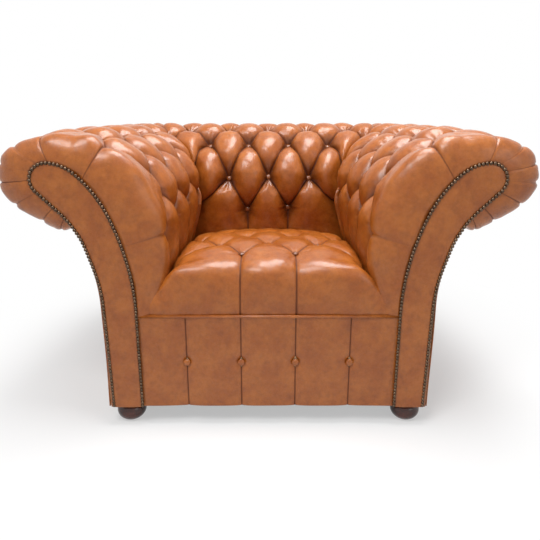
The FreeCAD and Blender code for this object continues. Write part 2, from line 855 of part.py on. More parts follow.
def foot_blocks():
    """Four blocks that the feet are bolted to."""
    over = (INNER_EDGE, OUTER_EDGE - BOARD)
    high = (BASE_Z, BASE_Z + BLOCK)
    front = bar(over, (BOARD_D + BOARD, BOARD_D + BOARD + STRETCHER), high)
    rear = bar(over, (REAR_BOARD_D + BOARD, REAR_BOARD_D + BOARD + STRETCHER - 6), high)
    made = []
    for block, foot in ((front, FRONT_FOOT), (rear, BACK_FOOT)):
        block = block.cut(prism(foot, BOLT_RADIUS, 8, BASE_Z - BLOCK, BASE_Z + 2 * BLOCK))
        made += [block, mirrored(block)]
    return Part.makeCompound(made)


# Springs

def spring_path(x):
    """The bends of one zig-zag spring, from the front rail to the back rail."""
    start, end = RAIL_D + BOARD / 2, BACK_RAIL_D + BOARD / 2
    pitch = (end - start) / SPRING_LOOPS
    height = RAIL_TOP_Z + CLIP_PLATE + SPRING_WIRE / 2
    path = []
    for loop in range(SPRING_LOOPS + 1):
        side = 1 if loop % 2 else -1
        bends = (-90, 0, 90) if loop < SPRING_LOOPS else (-90,)
        for angle in bends:
            turn = math.radians(angle)
            over = side * (SPRING_WIDTH / 2 - pitch / 2 + pitch / 2 * math.cos(turn))
            d = start + pitch * (loop + 0.5 + math.sin(turn) / 2)
            rise = SPRING_ARCH * math.sin(math.pi * min((d - start) / (end - start), 1.0))
            path.append(place(x + over, d, height + rise))
    return path


def wire(path, radius):
    """A bent wire with a square section along a level path."""
    rings = []
    for i, point in enumerate(path):
        ahead = path[min(i + 1, len(path) - 1)] - path[max(i - 1, 0)]
        side = Vector(ahead.y, -ahead.x, 0).normalize() * radius
        up = Vector(0, 0, radius)
        rings.append([point + side, point + up, point - side, point - up])
    return beam(rings)


def seat_springs():
    """Five zig-zag springs side by side."""
    return Part.makeCompound([wire(spring_path(x), SPRING_WIRE / 2) for x in SPRING_XS])


def spring_clips():
    """A folded clip at each end of each spring, on the rails."""
    made = []
    hook = SPRING_WIRE + 2 * CLIP_PLATE
    for x in SPRING_XS:
        for d in (RAIL_D, BACK_RAIL_D):
            low = (RAIL_TOP_Z, RAIL_TOP_Z + CLIP_PLATE)
            high = (RAIL_TOP_Z + CLIP_PLATE + SPRING_WIRE, RAIL_TOP_Z + hook)
            span = (x - CLIP_WIDTH / 2, x + CLIP_WIDTH / 2)
            plate = bar(span, (d + 2, d + BOARD - 2), low)
            wall_d = d + 3 if d == RAIL_D else d + BOARD - 3 - CLIP_PLATE
            wall = bar(span, (wall_d, wall_d + CLIP_PLATE), (low[0], high[1]))
            lip_d = (d + 3, d + BOARD / 2 + 4) if d == RAIL_D else (d + BOARD / 2 - 4, d + BOARD - 3)
            made.append(plate.fuse(wall).fuse(bar(span, lip_d, high)).removeSplitter())
    return Part.makeCompound(made)


def seat_hessian():
    """The cloth over the springs, folded down to the rails at its ends."""
    low = RAIL_TOP_Z
    high = SEAT_BOTTOM_Z - 1.0
    stops = ((RAIL_D + 1, low), (RAIL_D + BOARD + 8, high), (BACK_RAIL_D - 8, high), (BACK_RAIL_D + BOARD - 1, low))
    upper = [place(-SEAT_HALF, d, z + 1) for d, z in stops]
    lower = [place(-SEAT_HALF, d, z) for d, z in reversed(stops)]
    return Part.Face(Part.makePolygon(upper + lower + upper[:1])).extrude(Vector(2 * SEAT_HALF, 0, 0))


def dust_cover():
    """The cloth below the frame, cut out round the feet."""
    inner = OUTER_EDGE - BASE_CORNER
    far = back_distance(OUTER_EDGE) - 1
    radius = BASE_CORNER - 2
    near = RAIL_D
    middle = radius * (1 - math.sqrt(0.5))
    side = OUTER_EDGE - 2
    arcs = []
    for sign in (1, -1):
        ends = [place(sign * side, far - radius, BASE_Z), place(sign * (side - middle), far - middle, BASE_Z),
                place(sign * inner, far, BASE_Z)]
        arcs.append(Part.Arc(*ends).toShape())
    corners = [place(-side, far - radius, BASE_Z), place(-side, near, BASE_Z), place(side, near, BASE_Z),
               place(side, far - radius, BASE_Z)]
    lines = [Part.makeLine(a, b) for a, b in zip(corners, corners[1:])]
    lines.append(Part.makeLine(place(-inner, far, BASE_Z), place(inner, far, BASE_Z)))
    sheet = Part.Face(Part.Wire(Part.__sortEdges__(arcs + lines))).extrude(Vector(0, 0, -1))
    for foot in (FRONT_FOOT, BACK_FOOT):
        hole = prism(foot, FOOT_NECK + 3, 12, BASE_Z - 2, BASE_Z + 1)
        sheet = sheet.cut(hole).cut(mirrored(hole))
    return sheet


# Feet

def bun_foot(foot):
    """The right one of a pair of turned bun feet, hollowed for its bolt."""
    turns = [2 * math.pi * i / FOOT_SIDES for i in range(FOOT_SIDES)]
    profile = [(FOOT_SOLE, 0.0)]
    for step in range(FOOT_STEPS + 1):
        angle = math.radians(-55 + 100 * step / FOOT_STEPS)
        profile.append((FOOT_SOLE + (FOOT_RADIUS - FOOT_SOLE) * math.cos(angle), FOOT_MIDDLE * (1 + math.sin(angle))))
    profile += [(FOOT_NECK, profile[-1][1] + 3), (FOOT_NECK, BASE_Z)]
    rings = [[place(foot[0] + r * math.cos(a), foot[1] + r * math.sin(a), z) for a in turns] for r, z in profile]
    return beam(rings).cut(prism(foot, BOLT_RADIUS, 8, BOLT_LOW_Z, BASE_Z + 1))


def foot_bolts():
    """Four studs from the feet through the blocks."""
    studs = [prism(foot, BOLT_RADIUS, 8, BOLT_LOW_Z, BASE_Z + BLOCK + 10) for foot in (FRONT_FOOT, BACK_FOOT)]
    return Part.makeCompound(studs + [mirrored(one) for one in studs])


def foot_nuts():
    """Four hexagon nuts on the blocks."""
    low = BASE_Z + BLOCK
    nuts = [prism(foot, 7.5, 6, low, low + 6.5).cut(prism(foot, BOLT_RADIUS, 8, low - 1, low + 8))
            for foot in (FRONT_FOOT, BACK_FOOT)]
    return Part.makeCompound(nuts + [mirrored(one) for one in nuts])


# Buttons and nails

def dome(base, outward, radius, height, sides):
    """A low domed head, with its flat side at the base."""
    spare = Vector(0, 0, 1) if abs(outward.z) < 0.8 else Vector(0, 1, 0)
    over = outward.cross(spare).normalize()
    up = over.cross(outward).normalize()
    rings = []
    for share, rise in ((1.0, 0.0), (0.72, 0.7)):
        turns = [2 * math.pi * i / sides for i in range(sides)]
        rings.append([base + outward * (height * rise) + (over * math.cos(a) + up * math.sin(a)) * (radius * share)
                      for a in turns])
    facets = [(one[0], one[2], one[1]) for one in fan(rings[0][0], rings[0][1:])]
    facets += strips([ring + ring[:1] for ring in rings])
    facets += fan(base + outward * height, rings[1] + rings[1][:1])
    return solid_of(facets)


def buttons(lattice, lift):
    """A covered button in each pit of a pattern."""
    made = []
    for k, (s, depth, columns) in enumerate(lattice.rows):
        for column in columns:
            if column in lattice.corners:
                continue
            pit = lattice.pit(k, column, 0.0)
            outward = (lattice.at(lattice.along(column, s, 0.0), s, 0.0) - pit).normalize()
            made.append(dome(pit + outward * lift, outward, BUTTON_RADIUS, BUTTON_HEIGHT, BUTTON_SIDES))
    return Part.makeCompound(made)


def border_buttons():
    """The covered buttons in the seams of the front border."""
    places = [place(seam * HALF, BORDER_D + CHANNEL_DEPTH - 0.5, BORDER_BUTTON_Z) for seam in BORDER_SEAMS]
    return Part.makeCompound([dome(one, Vector(0, -1, 0), BUTTON_RADIUS, BUTTON_HEIGHT, BUTTON_SIDES) for one in places])


def facing_nails():
    """The close row of domed nails round the right facing."""
    count = int(FACING.length / NAIL_PITCH)
    made = []
    for i in range(count):
        x, z, _ = FACING.at((i + 0.5) * FACING.length / count)
        rim = [place(x + NAIL_RADIUS * math.cos(a), 0, z + NAIL_RADIUS * math.sin(a)) for a in
               [math.pi / 4 + 2 * math.pi * turn / NAIL_SIDES for turn in range(NAIL_SIDES)]]
        facets = fan(rim[0], rim[1:]) + [(one[0], one[2], one[1]) for one in
                                         fan(place(x, -NAIL_RISE, z), rim + rim[:1])]
        made.append(solid_of(facets))
    return Part.makeCompound(made)


def pieces():
    """Every node of the chair by name."""
    made = {
        "front_seat_rail": bar((-INNER_EDGE, INNER_EDGE), (RAIL_D, RAIL_D + BOARD), (BASE_Z, RAIL_TOP_Z)),
        "back_seat_rail": bar((-INNER_EDGE, INNER_EDGE), (BACK_RAIL_D, BACK_RAIL_D + BOARD), (BASE_Z, RAIL_TOP_Z)),
        "centre_stretcher": bar((-BOARD, BOARD), (RAIL_D + BOARD, BACK_RAIL_D), (BASE_Z, BASE_Z + STRETCHER)),
        "foot_blocks": foot_blocks(),
        "back_left_upright": upright(-UPRIGHT_X),
        "back_centre_upright": centre_upright(),
        "back_right_upright": upright(UPRIGHT_X),
        "back_panel": bent_board(back_panel_line),
        "seat_springs": seat_springs(),
        "spring_clips": spring_clips(),
        "seat_hessian": seat_hessian(),
        "seat_foam": seat_foam(),
        "back_foam": back_foam(),
        "border_pad": border_pad(),
        "seat_cover": leather(seat_net),
        "back_cover": leather(back_net),
        "outside_back_cover": outside_cover(outside_back_line),
        "front_border_cover": border_cover(),
        "seat_welt": seat_welt(),
        "seat_buttons": buttons(SEAT_LATTICE, BUTTON_LIFT / 2),
        "back_buttons": buttons(BACK_LATTICE, BUTTON_LIFT),
        "border_buttons": border_buttons(),
        "dust_cover": dust_cover(),
        "foot_bolts": foot_bolts(),
        "foot_nuts": foot_nuts(),
    }
    made.update(BACK_RAILS)
    rail_d = (BOARD_D + BOARD, REAR_BOARD_D)
    pairs = {
        "seat_rail": bar((OUTER_EDGE - BOARD, OUTER_EDGE), rail_d, LOW_RAIL_Z),
        "arm_front_board": arm_board(BOARD_D, 0.0),
        "arm_rear_board": arm_board(REAR_BOARD_D, 1.0),
        "arm_top_rail": arm_top_rail(),
        "arm_tack_rail": bar(TACK_RAIL[:2], rail_d, TACK_RAIL[2:]),
        "corner_rail": corner_rail(),
        "arm_panel": bent_board(arm_panel_line),
        "arm_foam": arm_foam(),
        "inside_arm_cover": leather(arm_net),
        "outside_arm_cover": outside_cover(outside_arm_line),
        "facing_cover": facing_profile(0.0, 0.0, BOARD_D),
        "arm_buttons": buttons(ARM_LATTICE, BUTTON_LIFT),
        "facing_nails": facing_nails(),
        "front_foot": bun_foot(FRONT_FOOT),
        "back_foot": bun_foot(BACK_FOOT),
    }
    for name, shape in pairs.items():
        made["right_" + name] = shape
        made["left_" + name] = mirrored(shape)
    return made


os.makedirs("parts", exist_ok=True)
for name, shape in pieces().items():
    shape.exportStep(f"parts/{name}.step")
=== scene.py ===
import json
import math
from contextlib import contextmanager

import bpy
import numpy as np
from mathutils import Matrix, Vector


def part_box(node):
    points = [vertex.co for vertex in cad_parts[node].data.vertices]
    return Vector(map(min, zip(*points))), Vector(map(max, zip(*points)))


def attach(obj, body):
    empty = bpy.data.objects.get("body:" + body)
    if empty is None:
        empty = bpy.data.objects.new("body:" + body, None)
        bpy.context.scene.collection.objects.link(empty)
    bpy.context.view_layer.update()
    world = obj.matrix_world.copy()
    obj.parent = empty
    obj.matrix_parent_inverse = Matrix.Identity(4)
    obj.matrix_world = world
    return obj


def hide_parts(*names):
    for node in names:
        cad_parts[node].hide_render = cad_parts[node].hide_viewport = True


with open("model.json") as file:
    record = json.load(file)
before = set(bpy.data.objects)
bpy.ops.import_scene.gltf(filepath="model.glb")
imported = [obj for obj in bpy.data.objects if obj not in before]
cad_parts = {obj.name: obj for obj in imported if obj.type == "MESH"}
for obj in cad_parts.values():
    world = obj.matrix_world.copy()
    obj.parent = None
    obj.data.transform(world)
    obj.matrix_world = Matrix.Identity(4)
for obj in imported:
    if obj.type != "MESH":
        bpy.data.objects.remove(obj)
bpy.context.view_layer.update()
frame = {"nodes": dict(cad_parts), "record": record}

bl_info = {
    "name": "Buttoned Leather Armchair",
    "version": (1, 0, 0),
    "blender": (4, 5, 0),
    "location": "View3D > Sidebar > Armchair",
    "description": "Builds the leather, nails, buttons and feet of a deep-buttoned armchair round its frame",
    "category": "Add Mesh",
}

# Metres throughout, in the frame's own axes. Distances behind the facings are called d, lengths round
# the section of an arm or of the back s, places along them t, and depths below the padding insets.

FACE_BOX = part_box("left_facing_cover")
FRONT_Y = FACE_BOX[0].y
BASE_Z = FACE_BOX[0].z
# The diamonds' pitch, and where an arm's first column of buttons stands behind the facings
PITCH = 0.145
HALF = PITCH / 2
FIRST_COLUMN = 0.1
# How far the arms draw in towards the back, between which d, and how soon up the section
SPLAY = 0.05
SPLAY_FROM = 0.1
SPLAY_TO = 0.57
SPLAY_RISE = 0.2
# The back's d at the seat, and the turn of its corners: the pivot's half breadth, depth to breadth
BACK_DEPTH = 0.598
BACK_RATIO = 0.9
PIVOT = 0.332
BASE_CORNER = 0.055
LEAN_FROM_Z = 0.36
LEAN_TO_Z = 0.54
# The seat: half breadths, heights, how far its sides sink, and how far they lean out under the arms
SEAT_HALF = 0.276
SEAT_FRONT_HALF = 0.338
SEAT_BOTTOM_Z = 0.352
SEAT_EDGE_Z = 0.32
SEAT_SAG = 0.034
SAG_FROM = 0.13
SAG_OVER = 0.05
SEAT_TUCK = 0.024
# The arms press the seat's front corners down, from this half breadth out to the edge
PRESSED_FROM = 0.225
PRESSED_SHARE = 0.62
CAD_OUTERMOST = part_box("right_inside_arm_cover")[1].x


class Outline:
    """A chain of arcs and straights in a plane; a turn is to the right, in degrees."""

    def __init__(self, x, z, heading, spans):
        rows = []
        start = 0.0
        angle = math.radians(heading)
        for size, turn in spans:
            side = (turn > 0) - (turn < 0)
            span = abs(math.radians(turn)) * size if turn else size
            rows.append((start, x, z, angle, size, side))
            if side:
                end = angle - side * span / size
                x += side * size * (math.sin(angle) - math.sin(end))
                z -= side * size * (math.cos(angle) - math.cos(end))
                angle = end
            else:
                x += span * math.cos(angle)
                z += span * math.sin(angle)
            start += span
        rows.append((start, x, z, angle, 1.0, 0))
        self.rows = np.array(rows)
        self.length = start

    def at(self, s, inset=0.0):
        """Breadth and height at lengths s, moved inwards by inset."""
        s = np.asarray(s, float)
        index = np.clip(np.searchsorted(self.rows[:, 0], s, side="right") - 1, 0, len(self.rows) - 1)
        start, x, z, angle, size, side = np.moveaxis(self.rows[index], -1, 0)
        before = s < 0
        run = s - start
        end = np.where(before, angle, angle - side * run / size)
        curved = (side != 0) & ~before
        x = np.where(curved, x + side * size * (np.sin(angle) - np.sin(end)), x + run * np.cos(angle))
        z = np.where(curved, z - side * size * (np.cos(angle) - np.cos(end)), z + run * np.sin(angle))
        return x + inset * np.sin(end), z - inset * np.cos(end)


# The padded arm's section, the nail line of the facing, and the seat's section
PADDING = Outline(0.274, 0.433, 99.0,
                  ((0.4, 31.0), (0.218, 50.5), (0.243, 47.5), (0.092, 110.0), (0.425, 16.0), (0.04, 59.0),
                   (0.03, 0)))
FACING = Outline(0.346, BASE_Z, 90.0,
                 ((0.272, 0), (0.65, 23.0), (0.303, 25.0), (0.098, 38.0), (0.04, 139.0),
                  (0.092, 0), (0.17, -31.0), (0.055, 0), (0.43, -14.0), (0.288, 0)))
SEAT = Outline(0.008, SEAT_EDGE_Z, 96.0, ((0.4, 14.0), (0.06, 68.0), (0.42, 14.0), (1.6, 17.0)))
REACH = CAD_OUTERMOST + 0.004 - float(PADDING.at(0.695)[0])

# How far the stuffing swells past the plain section: length round it, swelling
FULLNESS = np.array(((-0.08, 0.013), (0.0, 0.018), (0.12, 0.017), (0.25, 0.01), (0.36, 0.005),
                     (0.46, 0.014), (0.57, 0.016), (0.62, 0.004), (0.68, -0.01), (0.74, -0.01),
                     (0.82, -0.013), (0.9, -0.013), (0.975, 0.0)))
# The crown is plain again at the front of an arm, where the leather is drawn down to the nails
CROWN_FROM = 0.4
CROWN_OVER = 0.04
PLAIN_TO_D = 0.05
FULL_FROM_D = 0.22

# Where the gathered leather meets the facing: length on the padding, length on the nail line
EASING = np.array(((-0.115, 0.258), (-0.08, 0.292), (0.0, 0.372), (0.1, 0.451), (0.212, 0.541),
                   (0.368, 0.638), (0.545, 0.735), (0.605, 0.752), (0.787, 0.827), (0.905, 0.904),
                   (0.945, 0.925), (0.975, 0.948)))

# Where the nails stand off the facing's outline: length on it, inset
NAIL_INSET = np.array(((0.0, -0.004), (0.65, -0.0045), (0.75, 0.0), (0.9, 0.0), (0.96, -0.004),
                       (1.0, -0.003), (1.06, 0.0), (1.16, 0.003), (1.27, 0.0055), (1.459, 0.0085)))

# Rows of buttons: length round the section and depth. Columns are half a pitch apart, and the last
# one of a row is where a cover ends, at a corner or beside the seat.
ROW_SIZES = ((0.1, 0.05), (0.212, 0.054), (0.368, 0.055), (0.44, 0.04), (0.545, 0.034))
BACK_ROW_SIZES = ((0.064, 0.05), (0.186, 0.054), (0.362, 0.055), (0.44, 0.04), (0.545, 0.034))
# Straight pleats before the first row and after the last: length, depth
LOW_PLEATS = ((-0.115, 0.004), (0.0, 0.02))
HIGH_PLEATS = ((0.605, 0.014), (0.65, 0.01), (0.695, 0.008), (0.74, 0.008), (0.787, 0.008), (0.86, 0.008),
               (0.92, 0.005), (0.975, 0.001))
ARM_CORNER = 9
ARM_COLUMNS = ((0, 2, 4, 6, 9), (1, 3, 5, 9), (0, 2, 4, 6, 9), (1, 3, 5, 7, 9), (0, 2, 4, 6, 8, 9))
BACK_CORNER = 6
BACK_COLUMNS = ((-6, -1, 1, 6), (-6, -2, 0, 2, 6), (-6, -3, -1, 1, 3, 6),
                (-6, -4, -2, 0, 2, 4, 6), (-6, -5, -3, -1, 1, 3, 5, 6))
SEAT_CORNER = 4
SEAT_ROWS = ((0.216, 0.016, (-4, -1, 1, 4)), (0.329, 0.022, (-4, -2, 0, 2, 4)),
             (0.443, 0.024, (-4, -3, -1, 1, 3, 4)), (0.558, 0.024, (-4, -2, 0, 2, 4)),
             (0.66, 0.022, (-4, -3, -1, 1, 3, 4)))
SEAT_LOW = ((0.0, 0.002), (0.06, 0.007), (0.105, 0.013), (0.169, 0.014))
SEAT_HIGH = ((0.71, 0.004),)
# The seat's half breadth over its front edge: length, half breadth
SEAT_FLARE = np.array(((0.098, SEAT_FRONT_HALF), (0.121, 0.315), (0.145, 0.289), (0.169, SEAT_HALF)))

# Gathers where the arm's leather turns over its front: length round the section, depth, half width
GATHERS = ((0.1, 0.013, 0.05), (0.368, 0.014, 0.055), (0.525, 0.006, 0.03), (0.6, 0.006, 0.026),
           (0.66, 0.005, 0.024), (0.712, 0.005, 0.024), (0.79, 0.006, 0.028), (0.87, 0.006, 0.026),
           (0.93, 0.005, 0.024))
GATHER_TUCK = 0.0035
GATHER_AT_EDGE = 0.75
# Above each gather the leather stands out in a small lip
LIP = 0.0045
LIP_FROM = 0.003
LIP_REACH = 0.02
# Where an arm's front edge meets the padding and the facing, how its points close up towards the
# first pleats, and how near those pleats take over
EDGE_D = 0.045
FACE_D = 0.002
TURN_STEPS, RUN_STEPS, RUN_POWER = 14, 26, 0.9
REAR_REACH = PITCH * 0.42

# Pleats: a diamond's height as a share of the pitch, the width of the tucked fold, the softness of a
# pit's floor, and how far from a button a straight pleat is plain
DIAMOND_SHARE = 0.72
TUCK_WIDTH = 0.0024
PIT_SOFTNESS = 0.0012
TAIL_OVER = 0.06
EVEN_SHARE = 0.4
PROBE = 0.01
TINY = 1e-6

# Lumps of the padding: waves in the field, the spread of their sizes, and each field's size and share
LUMP_WAVES = 10
LUMP_SPREAD = (0.7, 1.5)
LUMP_SIZES = ((0.085, 1.0), (0.03, 0.25))
LUMP_CALM = 0.012
# Wrinkles round a button: their count and share in the turn, and the ring that they stand in
WRINKLE_WAVES = ((9, 1.0), (14, 0.8), (5, 0.6))
WRINKLE_REACH = 0.07
WRINKLE_RING = 0.03
WRINKLE_WIDTH = 0.018
WRINKLE_CALM = 0.006
# Points closer than this become one, leather this far from a pleat is plain, and the seat's pleats are
# tucked in by this share
MERGE = 0.00006
PLAIN_NEAR = 0.05
SEAT_TUCK_SHARE = 0.5
BUTTON_LIFT = 0.0005

# The seat's walls and the facings: points, where the facing's two edges meet, its puff and its leather
WALL_STEPS = 9
FACING_TIP = 0.775
FACING_STEPS = (241, 20)
FACING_PUFF = 0.0035
FACING_D = 0.0015
FACING_THICKNESS = 0.004
# The border: rows of points, d, the channels beside its seams, the stitching and the button pits
BORDER_STEPS = (90, 24)
BORDER_D = 0.0055
BORDER_BUTTON_Z = 0.187
BORDER_BUTTON_D = 0.0135
BORDER_BUTTON_LIFT = 0.002
CHANNEL_HALF, CHANNEL_DEPTH = 0.07, 0.004
STITCH_HALF, STITCH_DEPTH = 0.0025, 0.0018
PIT_HALF, PIT_DEPTH = 0.016, 0.007
# The outside: where it starts on the facing's outline, how far it stands off, and its points
OUTSIDE_FROM = 0.936
OUTSIDE_D = 0.0045
OUTSIDE_OFF = 0.0055
OUTSIDE_ROWS, OUTSIDE_CORNER, OUTSIDE_BACK = 70, 14, 40
OUTSIDE_WAVE = 0.2
WAVE_HEIGHT = 0.0008
# A bun foot, as shares of its height: its centre, its squash, and the flat top that carries the neck
BUN_CENTRE = 0.45
BUN_SQUASH = 0.78
BUN_TOP = 0.84
BUN_EDGE = 0.0012

# Lamps: name, place, aim, size and power
LAMPS = (("key", (-0.9, -1.9, 3.1), (0, 0, 0.5), (1.2, 1.0), 58.0),
         ("fill", (2.4, -2.6, 2.0), (0, 0, 0.4), (1.6, 1.6), 12.0),
         ("top", (0.3, -0.1, 3.0), (0, 0, 0.4), (1.8, 1.1), 92.0))
SURROUND = 0.195
SEED = 11
TUFTED = "waxed_leather"
SMOOTH = "waxed_leather_plain"


def read_at(table, at):
    """A table's second column at values of its first."""
    return np.interp(at, table[:, 0], table[:, 1])


def eased(share):
    """A share kept from 0 to 1 and eased at both ends."""
    share = np.clip(share, 0.0, 1.0)
    return share * share * (3 - 2 * share)


def handed(mirror):
    """What turns the right side's places into the left side's."""
    return np.array((-1, 1, 1)) if mirror else np.ones(3)


# Places on the padding, as on the frame

def place(x, d, z):
    """Points at breadth x, distance d behind the facings and height z."""
    return np.stack(np.broadcast_arrays(x, FRONT_Y + d, z), axis=-1)


def section(s, inset):
    """Half breadth and height of the padding's front section, fuller low down on the inside."""
    x, z = PADDING.at(s, inset - read_at(FULLNESS, s))
    return x + REACH, z


def lean(s):
    """How much of the arm's lean a height on the section takes."""
    return SPLAY * np.clip(s / SPLAY_RISE, 0.0, 1.0)


START_BREADTH = float(PADDING.at(0.0)[0]) + REACH


def back_distance(breadth):
    """The back's distance behind the facings, for a leant breadth."""
    return BACK_DEPTH + BACK_RATIO * (breadth - START_BREADTH)


PIVOT_D = float(back_distance(PIVOT))


def arc_run(breadth):
    """Length of an eighth of the corner's turn, up to the mitre."""
    return np.maximum(breadth - PIVOT, 0.0) * (1 + BACK_RATIO) / 2 * math.pi / 4


def arm_end_of(breadth):
    """The length along the arm to the mitre."""
    return np.where(breadth > PIVOT, PIVOT_D + arc_run(breadth), back_distance(breadth))


def back_end_of(breadth):
    """The half length across the back to the mitre."""
    return np.where(breadth > PIVOT, PIVOT + arc_run(breadth), breadth)


def along_arm(d, breadth, z, inward):
    """Points of the right arm, d along it."""
    d, breadth, z, inward = np.broadcast_arrays(d, breadth, z, inward)
    breadth = breadth - inward * np.clip((d - SPLAY_FROM) / (SPLAY_TO - SPLAY_FROM), 0.0, 1.0)
    run = np.maximum(arc_run(breadth), TINY)
    turn = math.pi / 4 * np.maximum(d - PIVOT_D, 0.0) / run
    reach = breadth - PIVOT
    round_it = (d > PIVOT_D) & (breadth > PIVOT)
    x = np.where(round_it, PIVOT + reach * np.cos(turn), breadth)
    y = np.where(round_it, PIVOT_D + BACK_RATIO * reach * np.sin(turn), d)
    return place(x, y, z)


def across_back(x, breadth, z):
    """Points of the back, x across it."""
    x, breadth, z = np.broadcast_arrays(x, breadth, z)
    run = np.maximum(arc_run(breadth), TINY)
    turn = math.pi / 2 - math.pi / 4 * np.maximum(np.abs(x) - PIVOT, 0.0) / run
    reach = breadth - PIVOT
    round_it = (np.abs(x) > PIVOT) & (breadth > PIVOT)
    over = np.where(round_it, np.copysign(PIVOT + reach * np.cos(turn), x), x)
    y = np.where(round_it, PIVOT_D + BACK_RATIO * reach * np.sin(turn), back_distance(breadth))
    return place(over, y, z)


def arm(d, s, inset):
    """Points of the right arm's padding."""
    crown = read_at(FULLNESS, s) * np.clip((s - CROWN_FROM) / CROWN_OVER, 0.0, 1.0)
    plain = np.clip((FULL_FROM_D - d) / (FULL_FROM_D - PLAIN_TO_D), 0.0, 1.0)
    breadth, z = section(s, inset + np.maximum(crown, 0.0) * plain)
    return along_arm(d, breadth, z, lean(s))


def back(x, s, inset):
    """Points of the back's padding."""
    breadth, z = section(s, inset)
    return across_back(x, breadth - lean(s), z)


def seat(x, q, inset):
    """Points of the seat, lower at its sides."""
    d, z = SEAT.at(q, inset)
    sag = SEAT_SAG * np.clip(np.abs(x) / SEAT_HALF, 0.0, 1.0) ** 3
    sag = sag * np.clip((q - SAG_FROM) / SAG_OVER, 0.0, 1.0)
    pressed = PRESSED_SHARE * eased((np.abs(x) - PRESSED_FROM) / (SEAT_FRONT_HALF - PRESSED_FROM))
    return place(x, d, z - sag - pressed * (z - sag - SEAT_EDGE_Z))


def arm_along(column, s, inset):
    """Where a column of the arm's pattern stands along the arm."""
    if column == ARM_CORNER:
        breadth, _ = section(s, inset)
        return arm_end_of(breadth - lean(s))
    return FIRST_COLUMN + HALF * column + 0.0 * s


def back_along(column, s, inset):
    """Where a column of the back's pattern stands across the back."""
    if abs(column) == BACK_CORNER:
        breadth, _ = section(s, inset)
        return np.copysign(back_end_of(breadth - lean(s)), column)
    return HALF * column + 0.0 * s


def seat_along(column, q, inset):
    """Where a column of the seat's pattern stands across the seat."""
    if abs(column) == SEAT_CORNER:
        return np.copysign(read_at(SEAT_FLARE, q) - inset, column)
    return HALF * column + 0.0 * q


# Tufted leather

def spaced(count):
    """Stops from 0 to 1, closer together towards both ends."""
    even = np.arange(count + 1) / count
    return EVEN_SHARE * even + (1 - EVEN_SHARE) * (1 - np.cos(math.pi * even)) / 2


def rise(share, power):
    """A pillow's rise across it, 0 at both sides and 1 in the middle."""
    return 1.0 - np.abs(2 * share - 1) ** power


